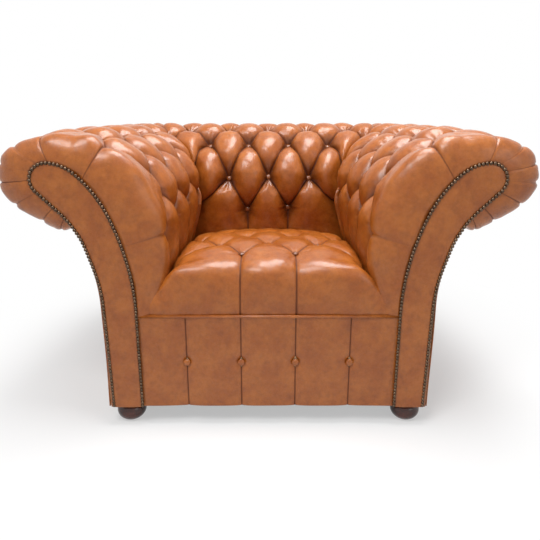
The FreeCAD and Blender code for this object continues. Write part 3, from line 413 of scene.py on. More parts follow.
class Tufting:
    """Padded pillows between buttons, gathered as patches of points."""

    def __init__(self, rows, corners, at, along, low, high, look, seed, tuck_share=1.0):
        self.rows = rows
        self.corners = corners
        self.at = at
        self.along = along
        self.low = low
        self.high = high
        self.look = look
        self.tuck_share = tuck_share
        self.patches = []
        draws = np.random.default_rng(seed)
        self.shift = {}
        for k, row in enumerate(rows):
            for column in row[2]:
                moved = draws.normal(0.0, look.unevenness, 2)
                self.shift[(k, column)] = (0.0, 0.0) if column in corners else tuple(moved)

    def knot(self, k, column):
        """A button's column, side shift, length round the section and depth."""
        s, depth, _ = self.rows[k]
        over, up = self.shift[(k, column)]
        return column, over, s + up, depth

    def between(self, k, a, b):
        """The column of row k that the pleats from a and b meet at."""
        inside = [column for column in self.rows[k][2] if a < column < b]
        return inside[0] if inside else (a if a in self.corners else b)

    def settled(self, inset, depth):
        """The inset, with the flat bottom that a button presses."""
        floor = depth * self.look.pit_floor
        return floor - PIT_SOFTNESS * np.logaddexp(0.0, (floor - inset) / PIT_SOFTNESS)

    def groove(self, near):
        """The narrow fold of leather tucked in along a pleat."""
        return self.look.tuck * self.tuck_share * np.exp(-(near / TUCK_WIDTH) ** 2)

    def stand(self, knots, weights, s, inset):
        """Points for weighted knots at lengths s and insets."""
        t = sum(w * (self.along(knot[0], s, inset) + knot[1]) for w, knot in zip(weights, knots))
        return t, self.at(t, s, inset)

    def diamond(self, knots, a, b):
        """Points of a diamond at shares a and b: knots low, right, high and left, where one may be open."""
        look = self.look
        weights = [(1 - a) * (1 - b), a * (1 - b), a * b, (1 - a) * b]
        for gap, other in ((0, 2), (2, 0)):
            if knots[gap] is None:
                weights = [weights[gap] * (1 if i % 2 else -1) + w for i, w in enumerate(weights)]
                weights[gap] = 0.0 * a
                knots = [knots[other] if i == gap else knot for i, knot in enumerate(knots)]
        s = sum(w * knot[2] for w, knot in zip(weights, knots))
        depth = sum(w * knot[3] for w, knot in zip(weights, knots))
        corner = (np.abs(2 * a - 1) * np.abs(2 * b - 1)) ** look.pit_power
        pleat = depth * (look.pleat_share + (1 - look.pleat_share) * corner)
        near = np.minimum(np.minimum(a, 1 - a), np.minimum(b, 1 - b)) * PITCH * DIAMOND_SHARE
        inset = (1 - rise(a, look.pillow_power) * rise(b, look.pillow_power)) * pleat
        inset = self.settled(inset, depth) + self.groove(near)
        t, points = self.stand(knots, weights, s, inset)
        self.patches.append((points, t, s, inset, near))

    def tail(self, knot, stops, v):
        """A straight pleat on from a button, at shares v: length, depth and how clear of the button."""
        lengths = np.array([knot[2]] + [s for s, _ in stops])
        depths = np.array([knot[3]] + [depth for _, depth in stops])
        s = lengths[0] + (lengths[-1] - lengths[0]) * v
        order = 1 if lengths[-1] > lengths[0] else -1
        away = eased(v * self.tail_length(stops) / TAIL_OVER)
        return s, np.interp(s, lengths[::order], depths[::order]), away

    def tail_length(self, stops):
        """The length of the straight pleats beyond the first or the last row."""
        row = self.rows[0] if stops[-1][0] < self.rows[0][0] else self.rows[-1]
        return abs(stops[-1][0] - row[0])

    def tail_shares(self, stops):
        """Shares along the straight pleats, one for each line of points."""
        count = max(int(self.tail_length(stops) / self.look.grain_step), 3)
        return np.linspace(0.0, 1.0, count + 1)

    def strip(self, left, right, stops, flip):
        """Points between two straight pleats that run on from two buttons."""
        look = self.look
        v = self.tail_shares(stops)[:, None]
        u = spaced(look.cell_steps)[None, :]
        s_left, deep_left, away = self.tail(left, stops, v)
        s_right, deep_right, _ = self.tail(right, stops, v)
        s = s_left * (1 - u) + s_right * u
        depth = deep_left * (1 - u) + deep_right * u
        share = look.pleat_share + (1 - look.pleat_share) * away
        corner = np.abs(2 * u - 1) ** (2 * look.pit_power)
        pleat = depth * (share + (1 - share) * corner)
        inset = (1 - rise(u, look.pillow_power) ** (2 - away)) * pleat
        near = np.minimum(u, 1 - u) * PITCH + 0 * v
        inset = self.settled(inset, depth) * (1 - away) + inset * away + self.groove(near)
        knots = [(knot[0], knot[1] * (1 - v)) for knot in (left, right)]
        t, points = self.stand(knots, (1 - u + 0 * v, u + 0 * v), s, inset)
        patch = (points, t, s, inset, near)
        self.patches.append(tuple(one[::-1] for one in patch) if flip else patch)

    def pillows(self):
        """Every pillow of the pattern."""
        stops = spaced(self.look.cell_steps)
        last = len(self.rows) - 1
        for k, row in enumerate(self.rows):
            for a, b in zip(row[2], row[2][1:]):
                left, right = self.knot(k, a), self.knot(k, b)
                low = self.knot(k - 1, self.between(k - 1, a, b)) if k > 0 else None
                high = self.knot(k + 1, self.between(k + 1, a, b)) if k < last else None
                u, v = np.meshgrid(stops, stops, indexing="xy")
                if low and high:
                    self.diamond((low, right, high, left), u, v)
                elif high:
                    self.diamond((low, right, high, left), u + (1 - u) * v, (1 - u) + u * v)
                    self.strip(left, right, self.low[::-1], True)
                else:
                    self.diamond((low, right, high, left), u * (1 - v), (1 - u) * (1 - v))
                    self.strip(left, right, self.high, False)

    def side(self, which):
        """Place along, length round and inset down the first or the last line across the rows."""
        look = self.look
        parts = []
        for k, stops in ((0, self.low[::-1]), (-1, self.high)):
            knot = self.knot(k % len(self.rows), self.rows[k][2][which])
            v = self.tail_shares(stops)
            s, depth, away = self.tail(knot, stops, v)
            inset = self.settled(depth, depth) * (1 - away) + depth * away + self.groove(0.0)
            parts.append((self.along(knot[0], s, inset) + knot[1] * (1 - v), s, inset))
        lines = [tuple(one[::-1] for one in parts[0])]
        stops = spaced(look.cell_steps)
        for k in range(len(self.rows) - 1):
            low, high = [self.knot(i, self.rows[i][2][which]) for i in (k, k + 1)]
            s = low[2] + (high[2] - low[2]) * stops
            depth = low[3] + (high[3] - low[3]) * stops
            corner = np.abs(2 * stops - 1) ** look.pit_power
            pleat = depth * (look.pleat_share + (1 - look.pleat_share) * corner)
            inset = self.settled(pleat, depth) + self.groove(0.0)
            t = self.stand((low, high), (1 - stops, stops), s, inset)[0]
            lines.append((t[1:], s[1:], inset[1:]))
        lines.append(tuple(one[1:] for one in parts[1]))
        return tuple(np.concatenate([line[i] for line in lines]) for i in range(3))

    def pits(self):
        """Each button's place and outward direction."""
        made = []
        for k, row in enumerate(self.rows):
            for column in row[2]:
                if column in self.corners:
                    continue
                _, over, s, depth = self.knot(k, column)
                inset = float(self.settled(np.array(depth), np.array(depth)))
                t = float(self.along(column, np.array(s), inset)) + over
                low = self.at(t, np.array(s), inset)
                high = self.at(t, np.array(s), inset - PROBE)
                made.append((low, (high - low) / np.linalg.norm(high - low)))
        return made


def lumps(points, size, seed):
    """A smooth uneven field over places, about -1 to 1."""
    draws = np.random.default_rng(seed)
    total = np.zeros(points.shape[:-1])
    for _ in range(LUMP_WAVES):
        aim = draws.normal(size=3)
        aim *= 2 * math.pi / (size * draws.uniform(*LUMP_SPREAD)) / np.linalg.norm(aim)
        total += np.sin(points @ aim + draws.uniform(0, 2 * math.pi))
    return total / math.sqrt(LUMP_WAVES)


def pick(made):
    """Selects only this object and makes it the active one."""
    bpy.ops.object.select_all(action="DESELECT")
    made.select_set(True)
    bpy.context.view_layer.objects.active = made


def linked(name, data):
    """A new object in the scene."""
    made = bpy.data.objects.new(name, data)
    bpy.context.scene.collection.objects.link(made)
    return made


@contextmanager
def whole_mesh_edited():
    """Edit mode with the active object's whole mesh selected."""
    bpy.ops.object.mode_set(mode="EDIT")
    bpy.ops.mesh.select_all(action="SELECT")
    yield
    bpy.ops.object.mode_set(mode="OBJECT")


def shade_numbers(mesh, name, values):
    """Stores one number for each vertex."""
    attribute = mesh.attributes.new(name, "FLOAT", "POINT")
    attribute.data.foreach_set("value", np.asarray(values, np.float32))


def grid_faces(rows, columns, offset, turned):
    """Quads of a grid of points."""
    index = offset + np.arange(rows * columns).reshape(rows, columns)
    quads = np.stack((index[:-1, :-1], index[:-1, 1:], index[1:, 1:], index[1:, :-1]), axis=-1)
    quads = quads.reshape(-1, 4)
    return quads[:, ::-1] if turned else quads


def mesh_of_patches(name, patches, mirror=False):
    """An object from grids of points with their numbers: inset and nearness to a pleat."""
    points, faces, dips, nears, offset = [], [], [], [], 0
    for grid, inset, near, turned in patches:
        rows, columns = grid.shape[:2]
        points.append(grid.reshape(-1, 3))
        dips.append(np.broadcast_to(inset, (rows, columns)).reshape(-1))
        nears.append(np.broadcast_to(near, (rows, columns)).reshape(-1))
        faces.append(grid_faces(rows, columns, offset, turned != mirror))
        offset += rows * columns
    mesh = bpy.data.meshes.new(name)
    mesh.from_pydata((np.concatenate(points) * handed(mirror)).tolist(), [], np.concatenate(faces).tolist())
    shade_numbers(mesh, "dip", np.concatenate(dips))
    shade_numbers(mesh, "near", np.concatenate(nears))
    made = linked(name, mesh)
    pick(made)
    with whole_mesh_edited():
        bpy.ops.mesh.remove_doubles(threshold=MERGE)
        bpy.ops.mesh.delete_loose()
    bpy.ops.object.shade_smooth()
    return made


def places_of(made):
    """The places of an object's vertices."""
    places = np.empty(len(made.data.vertices) * 3, np.float32)
    made.data.vertices.foreach_get("co", places)
    return places.reshape(-1, 3).astype(float)


def moved_by(made, amounts):
    """Moves each vertex along its normal."""
    mesh = made.data
    normals = np.empty(len(mesh.vertices) * 3, np.float32)
    mesh.vertex_normals.foreach_get("vector", normals)
    places = places_of(made) + normals.reshape(-1, 3) * amounts[:, None]
    mesh.vertices.foreach_set("co", places.reshape(-1))
    mesh.update()


def backed(made, thickness):
    """Gives a sheet its thickness, inwards."""
    pick(made)
    solid = made.modifiers.new("thickness", "SOLIDIFY")
    solid.thickness = thickness
    solid.offset = -1.0
    solid.use_rim = True
    bpy.ops.object.modifier_apply(modifier=solid.name)


def finished(made, nodes, material):
    """Gives a piece its material, hangs it on the root and hides the frame's parts that it takes the place
    of.
    """
    made.data.materials.clear()
    made.data.materials.append(bpy.data.materials[material])
    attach(made, "root")
    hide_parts(*nodes)


# Finishes

class Wiring:
    """Short calls for adding and linking nodes in one tree."""

    def __init__(self, tree):
        self.tree = tree

    def put(self, value, socket):
        """Links a socket to another, or sets it to a constant."""
        if isinstance(value, bpy.types.NodeSocket):
            self.tree.links.new(value, socket)
        else:
            socket.default_value = value

    def add(self, kind, inputs=None, **settings):
        """A new node, with its settings and what goes into it."""
        node = self.tree.nodes.new(kind)
        for key, value in settings.items():
            setattr(node, key, value)
        for name, value in (inputs or {}).items():
            self.put(value, node.inputs[name])
        return node

    def math(self, operation, *values):
        return self.add("ShaderNodeMath", dict(enumerate(values)), operation=operation).outputs[0]

    def spread(self, value, low, high, to_low=0.0, to_high=1.0):
        ends = {"Value": value, "From Min": low, "From Max": high, "To Min": to_low, "To Max": to_high}
        return self.add("ShaderNodeMapRange", ends, interpolation_type="SMOOTHSTEP").outputs["Result"]

    def mix(self, share, a, b):
        return self.add("ShaderNodeMix", {0: share, 6: a, 7: b}, data_type="RGBA").outputs[2]

    def mix_shaders(self, share, a, b):
        return self.add("ShaderNodeMixShader", {0: share, 1: a, 2: b}).outputs[0]

    def noise(self, vector, scale, detail, roughness=0.55):
        field = {"Vector": vector, "Scale": scale, "Detail": detail, "Roughness": roughness}
        return self.add("ShaderNodeTexNoise", field).outputs["Fac"]

    def bump(self, height, strength, distance):
        relief = {"Height": height, "Strength": strength, "Distance": distance}
        return self.add("ShaderNodeBump", relief).outputs["Normal"]


def node_group(name, inputs, outputs):
    """The wiring of an empty shader node group, what comes in and what goes out."""
    group = bpy.data.node_groups.new(name, "ShaderNodeTree")
    for direction, sockets in (("INPUT", inputs), ("OUTPUT", outputs)):
        for socket, kind, *value in sockets:
            made = group.interface.new_socket(socket, in_out=direction, socket_type=f"NodeSocket{kind}")
            if value:
                made.default_value = value[0]
    w = Wiring(group)
    return w, w.add("NodeGroupInput").outputs, w.add("NodeGroupOutput").inputs


def hide_grain_group():
    """Leather's fine pebbled grain and soft creases, as a height from 0 to 1."""
    w, start, end = node_group("hide_grain", (("Place", "Vector"),), (("Height", "Float"),))
    where = start["Place"]
    cells = w.add("ShaderNodeTexVoronoi", {"Vector": where, "Scale": 620.0}, feature="DISTANCE_TO_EDGE")
    pebbles = w.spread(cells.outputs["Distance"], 0.0, 0.25)
    broad = w.math("MULTIPLY", w.noise(where, 95.0, 5.0, 0.6), 0.75)
    height = w.math("MULTIPLY_ADD", pebbles, 0.35, broad)
    w.put(w.math("MULTIPLY_ADD", w.noise(where, 900.0, 2.0), 0.15, height), end["Height"])


def hide_colour_group():
    """Hand-waxed leather's uneven colour, with painted shade that darkens it down in the pleats and along
    their crease lines.
    """
    w, start, end = node_group(
        "hide_colour", (("Place", "Vector"), ("Dip", "Float", 0.0), ("Near", "Float", 1.0),
                        ("Light", "Color"), ("Main", "Color"), ("Dark", "Color")),
        (("Color", "Color"), ("Line", "Float")))
    clouds = w.spread(w.noise(start["Place"], 16.0, 7.0, 0.68), 0.3, 0.7)
    flecks = w.spread(w.noise(start["Place"], 60.0, 6.0, 0.7), 0.4, 0.72)
    # Painted shade: the colour goes darker with the depth of a pleat and along its crease line; the flecks
    # are the leather's own uneven tone.
    low = w.spread(start["Dip"], 0.008, 0.044)
    line = w.spread(start["Near"], 0.0004, 0.0032, 1.0, 0.0)
    colour = w.mix(clouds, start["Main"], start["Light"])
    for mask, share in ((flecks, 0.3), (low, 0.8), (line, 0.8)):
        colour = w.mix(w.math("MULTIPLY", mask, share), colour, start["Dark"])
    w.put(colour, end["Color"])
    w.put(line, end["Line"])


def new_material(name):
    """A new material's wiring, the place on the object, and the shader's inputs."""
    material = bpy.data.materials.new(name)
    material.use_nodes = True
    w = Wiring(material.node_tree)
    return w, w.add("ShaderNodeTexCoord").outputs["Object"], w.tree.nodes["Principled BSDF"].inputs


def leather_material(name, look, pleated):
    """Semi-gloss waxed leather, with painted shade darkening its pleats where it has them."""
    w, where, shader = new_material(name)
    groups = bpy.data.node_groups
    hide = {"Place": where, "Light": (*look.light, 1), "Main": (*look.main, 1), "Dark": (*look.dark, 1)}
    # The stored depth and nearness to a pleat drive the painted shade in the leather's colour.
    if pleated:
        for socket in ("Dip", "Near"):
            stored = w.add("ShaderNodeAttribute", attribute_name=socket.lower())
            hide[socket] = stored.outputs["Fac"]
    colour = w.add("ShaderNodeGroup", node_tree=groups["hide_colour"])
    for socket, value in hide.items():
        w.put(value, colour.inputs[socket])
    grain = w.add("ShaderNodeGroup", node_tree=groups["hide_grain"])
    w.put(where, grain.inputs["Place"])
    height, line = grain.outputs["Height"], colour.outputs["Line"]
    roughness = w.spread(height, 0.2, 0.9, look.roughness + 0.07, look.roughness - 0.05)
    for socket, value in (("Base Color", colour.outputs["Color"]),
                          ("Roughness", w.math("MULTIPLY_ADD", line, 0.4, roughness)),
                          ("Coat Weight", w.spread(line, 0.0, 0.6, look.coat, 0.0)),
                          ("Normal", w.bump(height, 0.35, 0.0006)),
                          ("Coat Roughness", 0.16), ("Specular IOR Level", 0.36)):
        w.put(value, shader[socket])


def plain_material(name, colour, roughness, scale, metallic=0.0, variation=0.25, stretch=(1, 1, 1),
                   bump=0.0002):
    """A surface with a soft uneven colour and a slight texture."""
    w, where, shader = new_material(name)
    mapping = w.add("ShaderNodeMapping", {"Vector": where, "Scale": stretch})
    field = w.noise(mapping.outputs["Vector"], scale, 5.0, 0.6)
    dark = (*(one * (1 - variation) for one in colour), 1)
    light = (*(min(one * (1 + variation), 1.0) for one in colour), 1)
    w.put(w.mix(w.spread(field, 0.3, 0.7), dark, light), shader["Base Color"])
    w.put(w.spread(field, 0.2, 0.8, roughness * 1.15, roughness * 0.85), shader["Roughness"])
    w.put(metallic, shader["Metallic"])
    w.put(w.bump(field, 0.6, bump), shader["Normal"])
    return name


# Settings

def number(name, description, default, **limits):
    """A number that can be set."""
    return bpy.props.FloatProperty(name=name, description=description, default=default, **limits)


def length(name, description, default):
    """A length that can be set."""
    return number(name, description, default, subtype="DISTANCE")


def tint(name, description, default):
    """A colour that can be set."""
    return bpy.props.FloatVectorProperty(name=name, description=description, default=default,
                                         subtype="COLOR")


class LeatherLook(bpy.types.PropertyGroup):
    """The leather's shape and colour."""
    pleat_share: number("Pleat depth", "A pleat's depth as a share of its buttons'", 0.36, min=0.1, max=1.0)
    pit_power: number("Pit sharpness", "How suddenly a pleat drops to a button", 1.15, min=0.8, max=5.0)
    pit_floor: number("Pit floor", "The button's depth as a share of the pit's", 0.97, min=0.5, max=1.0)
    tuck: length("Tuck", "How deep the leather is tucked in along a pleat", 0.004)
    pillow_power: number("Pillow fullness", "How full the pillows are", 2.35, min=1.5, max=5.0)
    cell_steps: bpy.props.IntProperty(name="Steps", description="Steps along a pillow's side", default=26)
    grain_step: length("Step", "Distance between points on straight pleats", 0.005)
    unevenness: length("Unevenness", "How far buttons stand off their pattern", 0.0018)
    lump: length("Lumps", "Height of the padding's lumps", 0.0012)
    pull: length("Wrinkles", "Height of the wrinkles at the buttons", 0.0009)
    thickness: length("Thickness", "The leather's thickness", 0.0025)
    roughness: number("Roughness", "The leather's mean roughness", 0.3)
    coat: number("Wax", "Weight of the wax over the leather", 0.24)
    light: tint("Light colour", "Where the wax is rubbed thin", (0.4, 0.118, 0.017))
    main: tint("Main colour", "The leather's main colour", (0.305, 0.076, 0.009))
    # The dark colour serves the leather's random flecks and the painted shade in its pleats, pits and
    # buttons.
    dark: tint("Dark colour", "The leather's colour down in the pleats", (0.055, 0.009, 0.0015))


class TrimLook(bpy.types.PropertyGroup):
    """Buttons, nails and feet."""
    button_radius: length("Button radius", "Radius of a covered button", 0.0098)
    # The depth whose painted shade colours a button, as if down in its pit.
    button_painted_shade: length("Button shade", "The depth a button is coloured for", 0.031)
    nail_radius: length("Nail radius", "Radius of a nail's head", 0.0048)
    nail_pitch: length("Nail pitch", "Distance between nails", 0.0094)
    welt_radius: length("Welt radius", "Radius of the piping over the border", 0.0042)
    foot_colour: tint("Foot colour", "The feet's polished wood", (0.055, 0.012, 0.007))


class StageLook(bpy.types.PropertyGroup):
    """Camera and light."""
    focal: number("Focal length", "The lens, on a 36 mm sensor", 33.33)
    shift_x: number("Shift across", "The lens's shift, as a share of the sensor", 0.0032)
    shift_y: number("Shift up", "The lens's shift, as a share of the sensor", -0.0426)
    camera_height: length("Camera height", "Above the floor", 0.832)
    camera_distance: length("Camera distance", "In front of the facings", 1.204)
    camera_pitch: number("Camera pitch", "Degrees below the horizon", 15.0)
    near_white: number("White near the chair", "How far the floor's shadow is lifted", 0.45)


# Pieces

def arm_tufting(look, seed):
    """The pattern of one arm, whose last buttons are the back's."""
    rows = tuple((*size, columns) for size, columns in zip(ROW_SIZES, ARM_COLUMNS))
    made = Tufting(rows, (ARM_CORNER,), arm, arm_along, LOW_PLEATS, HIGH_PLEATS, look, seed)
    for k, (row, back_row) in enumerate(zip(ROW_SIZES, BACK_ROW_SIZES)):
        made.shift[(k, ARM_CORNER)] = (0.0, back_row[0] - row[0])
    return made


def nail_line(f, most=np.inf):
    """Breadth and height of the nails at lengths f round the facing's outline."""
    return FACING.at(f, np.minimum(read_at(NAIL_INSET, f), most))


def arm_front_patch(tufting, look):
    """The smooth front of an arm, from the nails over its edge to the first pleats."""
    t, s, rear = [one[:, None] for one in tufting.side(0)]
    turn = np.linspace(0.0, 1.0, TURN_STEPS + 1)[None, :-1]
    run = np.linspace(0.0, 1.0, RUN_STEPS + 1)[None, :] ** RUN_POWER
    gathers = np.zeros_like(s)
    nearest = np.full_like(s, 1.0)
    for at, depth, half in GATHERS:
        off = s - at
        gathers = gathers + depth * np.clip(1 - np.abs(off) / half, 0.0, 1.0) ** look.pillow_power
        gathers = gathers + look.tuck * np.exp(-(off / GATHER_TUCK) ** 2)
        above = np.clip(off / LIP_FROM, 0.0, 1.0)
        gathers = gathers - LIP * above * np.exp(-np.maximum(off, 0.0) / LIP_REACH)
        nearest = np.minimum(nearest, np.abs(off))
    face_x, face_z = nail_line(read_at(EASING, s))
    front = place(face_x, FACE_D, face_z)
    d = EDGE_D + (t - EDGE_D) * run
    close = np.clip(1 - (t - d) / REAR_REACH, 0.0, 1.0) ** look.pillow_power
    inset = rear * close + gathers * (1 - close) * (GATHER_AT_EDGE + (1 - GATHER_AT_EDGE) * run)
    body = arm(d, s, inset)
    crown = body[:, :1]
    back_by = (crown - front) * (0, 1, 0)
    out_by = crown - front - back_by
    angle = (turn * math.pi / 2)[..., None]
    edge = front + out_by * np.sin(angle) + back_by * (1 - np.cos(angle))
    flat = np.zeros(edge.shape[:2])
    # The insets and the nearness to the gathers and the first pleats paint shade into the leather's colour
    # in the folds.
    insets = np.concatenate((inset[:, :1] * turn, inset), axis=1)
    nears = np.concatenate((nearest + flat, np.minimum(t - d, nearest)), axis=1)
    return np.concatenate((edge, body), axis=1), np.concatenate((flat, d), axis=1), s, insets, nears


def tufted_object(name, tufting, look, seed, extra=(), walls=(), mirror=False):
    """The whole tufted cover as one mesh, with its lumps and its wrinkles."""
    grids = list(walls)
    for points, t, s, inset, near in tufting.patches + list(extra):
        rows, columns = points.shape[:2]
        t, s, inset, near = [np.broadcast_to(one, (rows, columns)) for one in (t, s, inset, near)]
        i, j = rows // 2, columns // 2
        down = points[i + 1, j] - points[i, j]
        across = points[i, j + 1] - points[i, j]
        outward = (tufting.at(t, s, inset - PROBE / 2) - tufting.at(t, s, inset))[i, j]
        grids.append((points, inset, near, np.dot(np.cross(across, down), outward) < 0))
    made = mesh_of_patches(name, grids, mirror)
    places = places_of(made)
    near = np.empty(len(places), np.float32)
    made.data.attributes["near"].data.foreach_get("value", near)
    amount = sum(share * lumps(places, size, seed + i) for i, (size, share) in enumerate(LUMP_SIZES))
    amount *= look.lump * np.clip(near / LUMP_CALM, 0.0, 1.0)
    wrinkles = np.zeros(len(places))
    draws = np.random.default_rng(seed + 2)
    for low, outward in tufting.pits():
        aim = outward * handed(mirror)
        offset = places - low * handed(mirror)
        distance = np.linalg.norm(offset, axis=1)
        close = distance < WRINKLE_REACH
        side = np.cross(aim, (0.0, 0.3, 1.0))
        side /= np.linalg.norm(side)
        turn = np.arctan2(offset[close] @ np.cross(side, aim), offset[close] @ side)
        starts = draws.uniform(0, 2 * math.pi, len(WRINKLE_WAVES))
        waves = sum(share * np.sin(count * turn + start)
                    for (count, share), start in zip(WRINKLE_WAVES, starts))
        wrinkles[close] += waves * np.exp(-((distance[close] - WRINKLE_RING) / WRINKLE_WIDTH) ** 2)
    amount += wrinkles * look.pull * np.clip(near / WRINKLE_CALM, 0.0, 1.0)
    moved_by(made, amount)
    return made


def dome(radius, segments, rings, cut, squash):
    """A ball cut off flat underneath and flattened, for a button or the head of a nail."""
    bpy.ops.mesh.primitive_uv_sphere_add(segments=segments, ring_count=rings, radius=radius)
    with whole_mesh_edited():
        bpy.ops.mesh.bisect(plane_co=(0, 0, cut), plane_no=(0, 0, 1), use_fill=True, clear_inner=True)
        bpy.ops.mesh.select_all(action="SELECT")
        bpy.ops.transform.resize(value=(1, 1, squash))
    return bpy.context.object


def copies_joined(pattern, name, spots, lift=0.0):
    """One object of copies of a small pattern, each at a place with its up direction."""
    source = np.array([vertex.co for vertex in pattern.data.vertices])
    polygons = [tuple(face.vertices) for face in pattern.data.polygons]
    points, faces = [], []
    for centre, up in spots:
        up = np.asarray(up, float)
        side = np.cross((0.0, 0.0, 1.0), up) if abs(up[2]) < 0.95 else np.cross((0.0, 1.0, 0.0), up)
        side /= np.linalg.norm(side)
        offset = len(points) * len(source)
        points.append(source @ np.array((side, np.cross(up, side), up)) + np.asarray(centre) + up * lift)
        faces += [tuple(index + offset for index in polygon) for polygon in polygons]
    mesh = bpy.data.meshes.new(name)
    mesh.from_pydata(np.concatenate(points).tolist(), [], faces)
    made = linked(name, mesh)
    bpy.data.objects.remove(pattern)
    pick(made)
    bpy.ops.object.shade_smooth()
    return made


def button_caps(name, spots, lift, radius):
    """Copies of a leather-covered button, flat underneath."""
    button = dome(radius, segments=20, rings=12, cut=-radius * 0.35, squash=0.55)
    return copies_joined(button, name, spots, lift)


def tufted_cover(context, side, tufting, seed, nodes, extra=(), walls=(), mirror=False):
    """A tufted cover, and its buttons, coloured with the painted shade of the pits that they lie in."""
    look, trim = context.scene.chair_leather, context.scene.chair_trim
    tufting.pillows()
    made = tufted_object(f"{side}_leather", tufting, look, seed, extra, walls, mirror)
    backed(made, look.thickness)
    finished(made, nodes, TUFTED)
    spots = [(low * handed(mirror), outward * handed(mirror)) for low, outward in tufting.pits()]
    made = button_caps(f"{side}_button_caps", spots, BUTTON_LIFT, trim.button_radius)
    # The buttons get a pit's depth, so that the leather's colour paints them with the shade of their pits.
    for stored, value in (("dip", trim.button_painted_shade), ("near", 1.0)):
        shade_numbers(made.data, stored, np.full(len(made.data.vertices), value))
    finished(made, (f"{side}_buttons",), TUFTED)


class CHAIR_OT_finishes(bpy.types.Operator):
    """Make the finishes, and give the frame's own pieces theirs"""
    bl_idname = "chair.finishes"
    bl_label = "Finishes"

    def execute(self, context):
        look = context.scene.chair_leather
        foot = tuple(context.scene.chair_trim.foot_colour)
        hide_grain_group()
        hide_colour_group()
        leather_material(TUFTED, look, True)
        leather_material(SMOOTH, look, False)
        made = {
            "frame_wood": plain_material("sawn_beech", (0.55, 0.38, 0.22), 0.65, 30.0, stretch=(1, 0.15, 1)),
            "plywood": plain_material("bent_plywood", (0.62, 0.45, 0.27), 0.6, 25.0, stretch=(0.3, 1, 1)),
            "foam": plain_material("foam", (0.8, 0.74, 0.55), 0.9, 220.0, variation=0.1),
            "spring_steel": plain_material("spring_steel", (0.33, 0.33, 0.34), 0.35, 60.0, 1.0),
            "hessian": plain_material("hessian", (0.5, 0.37, 0.2), 0.95, 400.0, variation=0.3),
            "dust_cloth": plain_material("dust_cloth", (0.02, 0.02, 0.022), 0.95, 500.0),
            "foot_wood": plain_material("polished_mahogany", foot, 0.18, 22.0, variation=0.5,
                                        stretch=(1, 1, 0.3), bump=0.00005),
            "nail_brass": plain_material("antique_brass", (0.11, 0.07, 0.045), 0.24, 180.0, 1.0, 0.4),
        }
        for part in frame["record"]["subparts"]:
            worn = frame["nodes"][part["node"]].data.materials
            worn.clear()
            worn.append(bpy.data.materials[made.get(part["material_slot"], SMOOTH)])
        return {"FINISHED"}


class CHAIR_OT_arms(bpy.types.Operator):
    """Tuft the leather of both arms"""
    bl_idname = "chair.arms"
    bl_label = "Arm leather"

    def execute(self, context):
        look = context.scene.chair_leather
        for side, mirror, seed in (("right", False, SEED), ("left", True, SEED + 1)):
            tufting = arm_tufting(look, seed)
            nodes = (f"{side}_inside_arm_cover", f"{side}_arm_foam")
            tufted_cover(context, f"{side}_arm", tufting, seed * 10, nodes,
                         extra=(arm_front_patch(tufting, look),), mirror=mirror)
        return {"FINISHED"}


class CHAIR_OT_back(bpy.types.Operator):
    """Tuft the leather of the back"""
    bl_idname = "chair.back"
    bl_label = "Back leather"

    def execute(self, context):
        look = context.scene.chair_leather
        rows = tuple((*size, columns) for size, columns in zip(BACK_ROW_SIZES, BACK_COLUMNS))
        tufting = Tufting(rows, (-BACK_CORNER, BACK_CORNER), back, back_along, LOW_PLEATS, HIGH_PLEATS,
                          look, SEED + 3)
        tufted_cover(context, "back", tufting, SEED * 10 + 30, ("back_cover", "back_foam"))
        return {"FINISHED"}


class CHAIR_OT_seat(bpy.types.Operator):
    """Tuft the leather of the seat"""
    bl_idname = "chair.seat"
    bl_label = "Seat leather"

    def execute(self, context):
        look = context.scene.chair_leather
        tufting = Tufting(SEAT_ROWS, (-SEAT_CORNER, SEAT_CORNER), seat, seat_along, SEAT_LOW, SEAT_HIGH,
                          look, SEED + 4, SEAT_TUCK_SHARE)
        walls = []
        for which in (0, -1):
            t, s, inset = tufting.side(which)
            top = seat(t, s, inset)
            foot = top.copy()
            foot[:, 2] = np.minimum(foot[:, 2], SEAT_BOTTOM_Z)
            under = np.clip((SEAT_FRONT_HALF - np.abs(t)) / (SEAT_FRONT_HALF - SEAT_HALF), 0.0, 1.0)
            foot[:, 0] += np.copysign(SEAT_TUCK * under, t)
            share = np.linspace(0.0, 1.0, WALL_STEPS)[None, :, None]
            wall = top[:, None] * (1 - share) + foot[:, None] * share
            # The wall keeps the side's inset, which paints the pleats' shade down it in the leather's
            # colour.
            walls.append((wall, inset[:, None], PLAIN_NEAR, which == 0))
        tufted_cover(context, "seat", tufting, SEED * 10 + 40, ("seat_cover", "seat_foam"),
                     walls=walls)
        return {"FINISHED"}


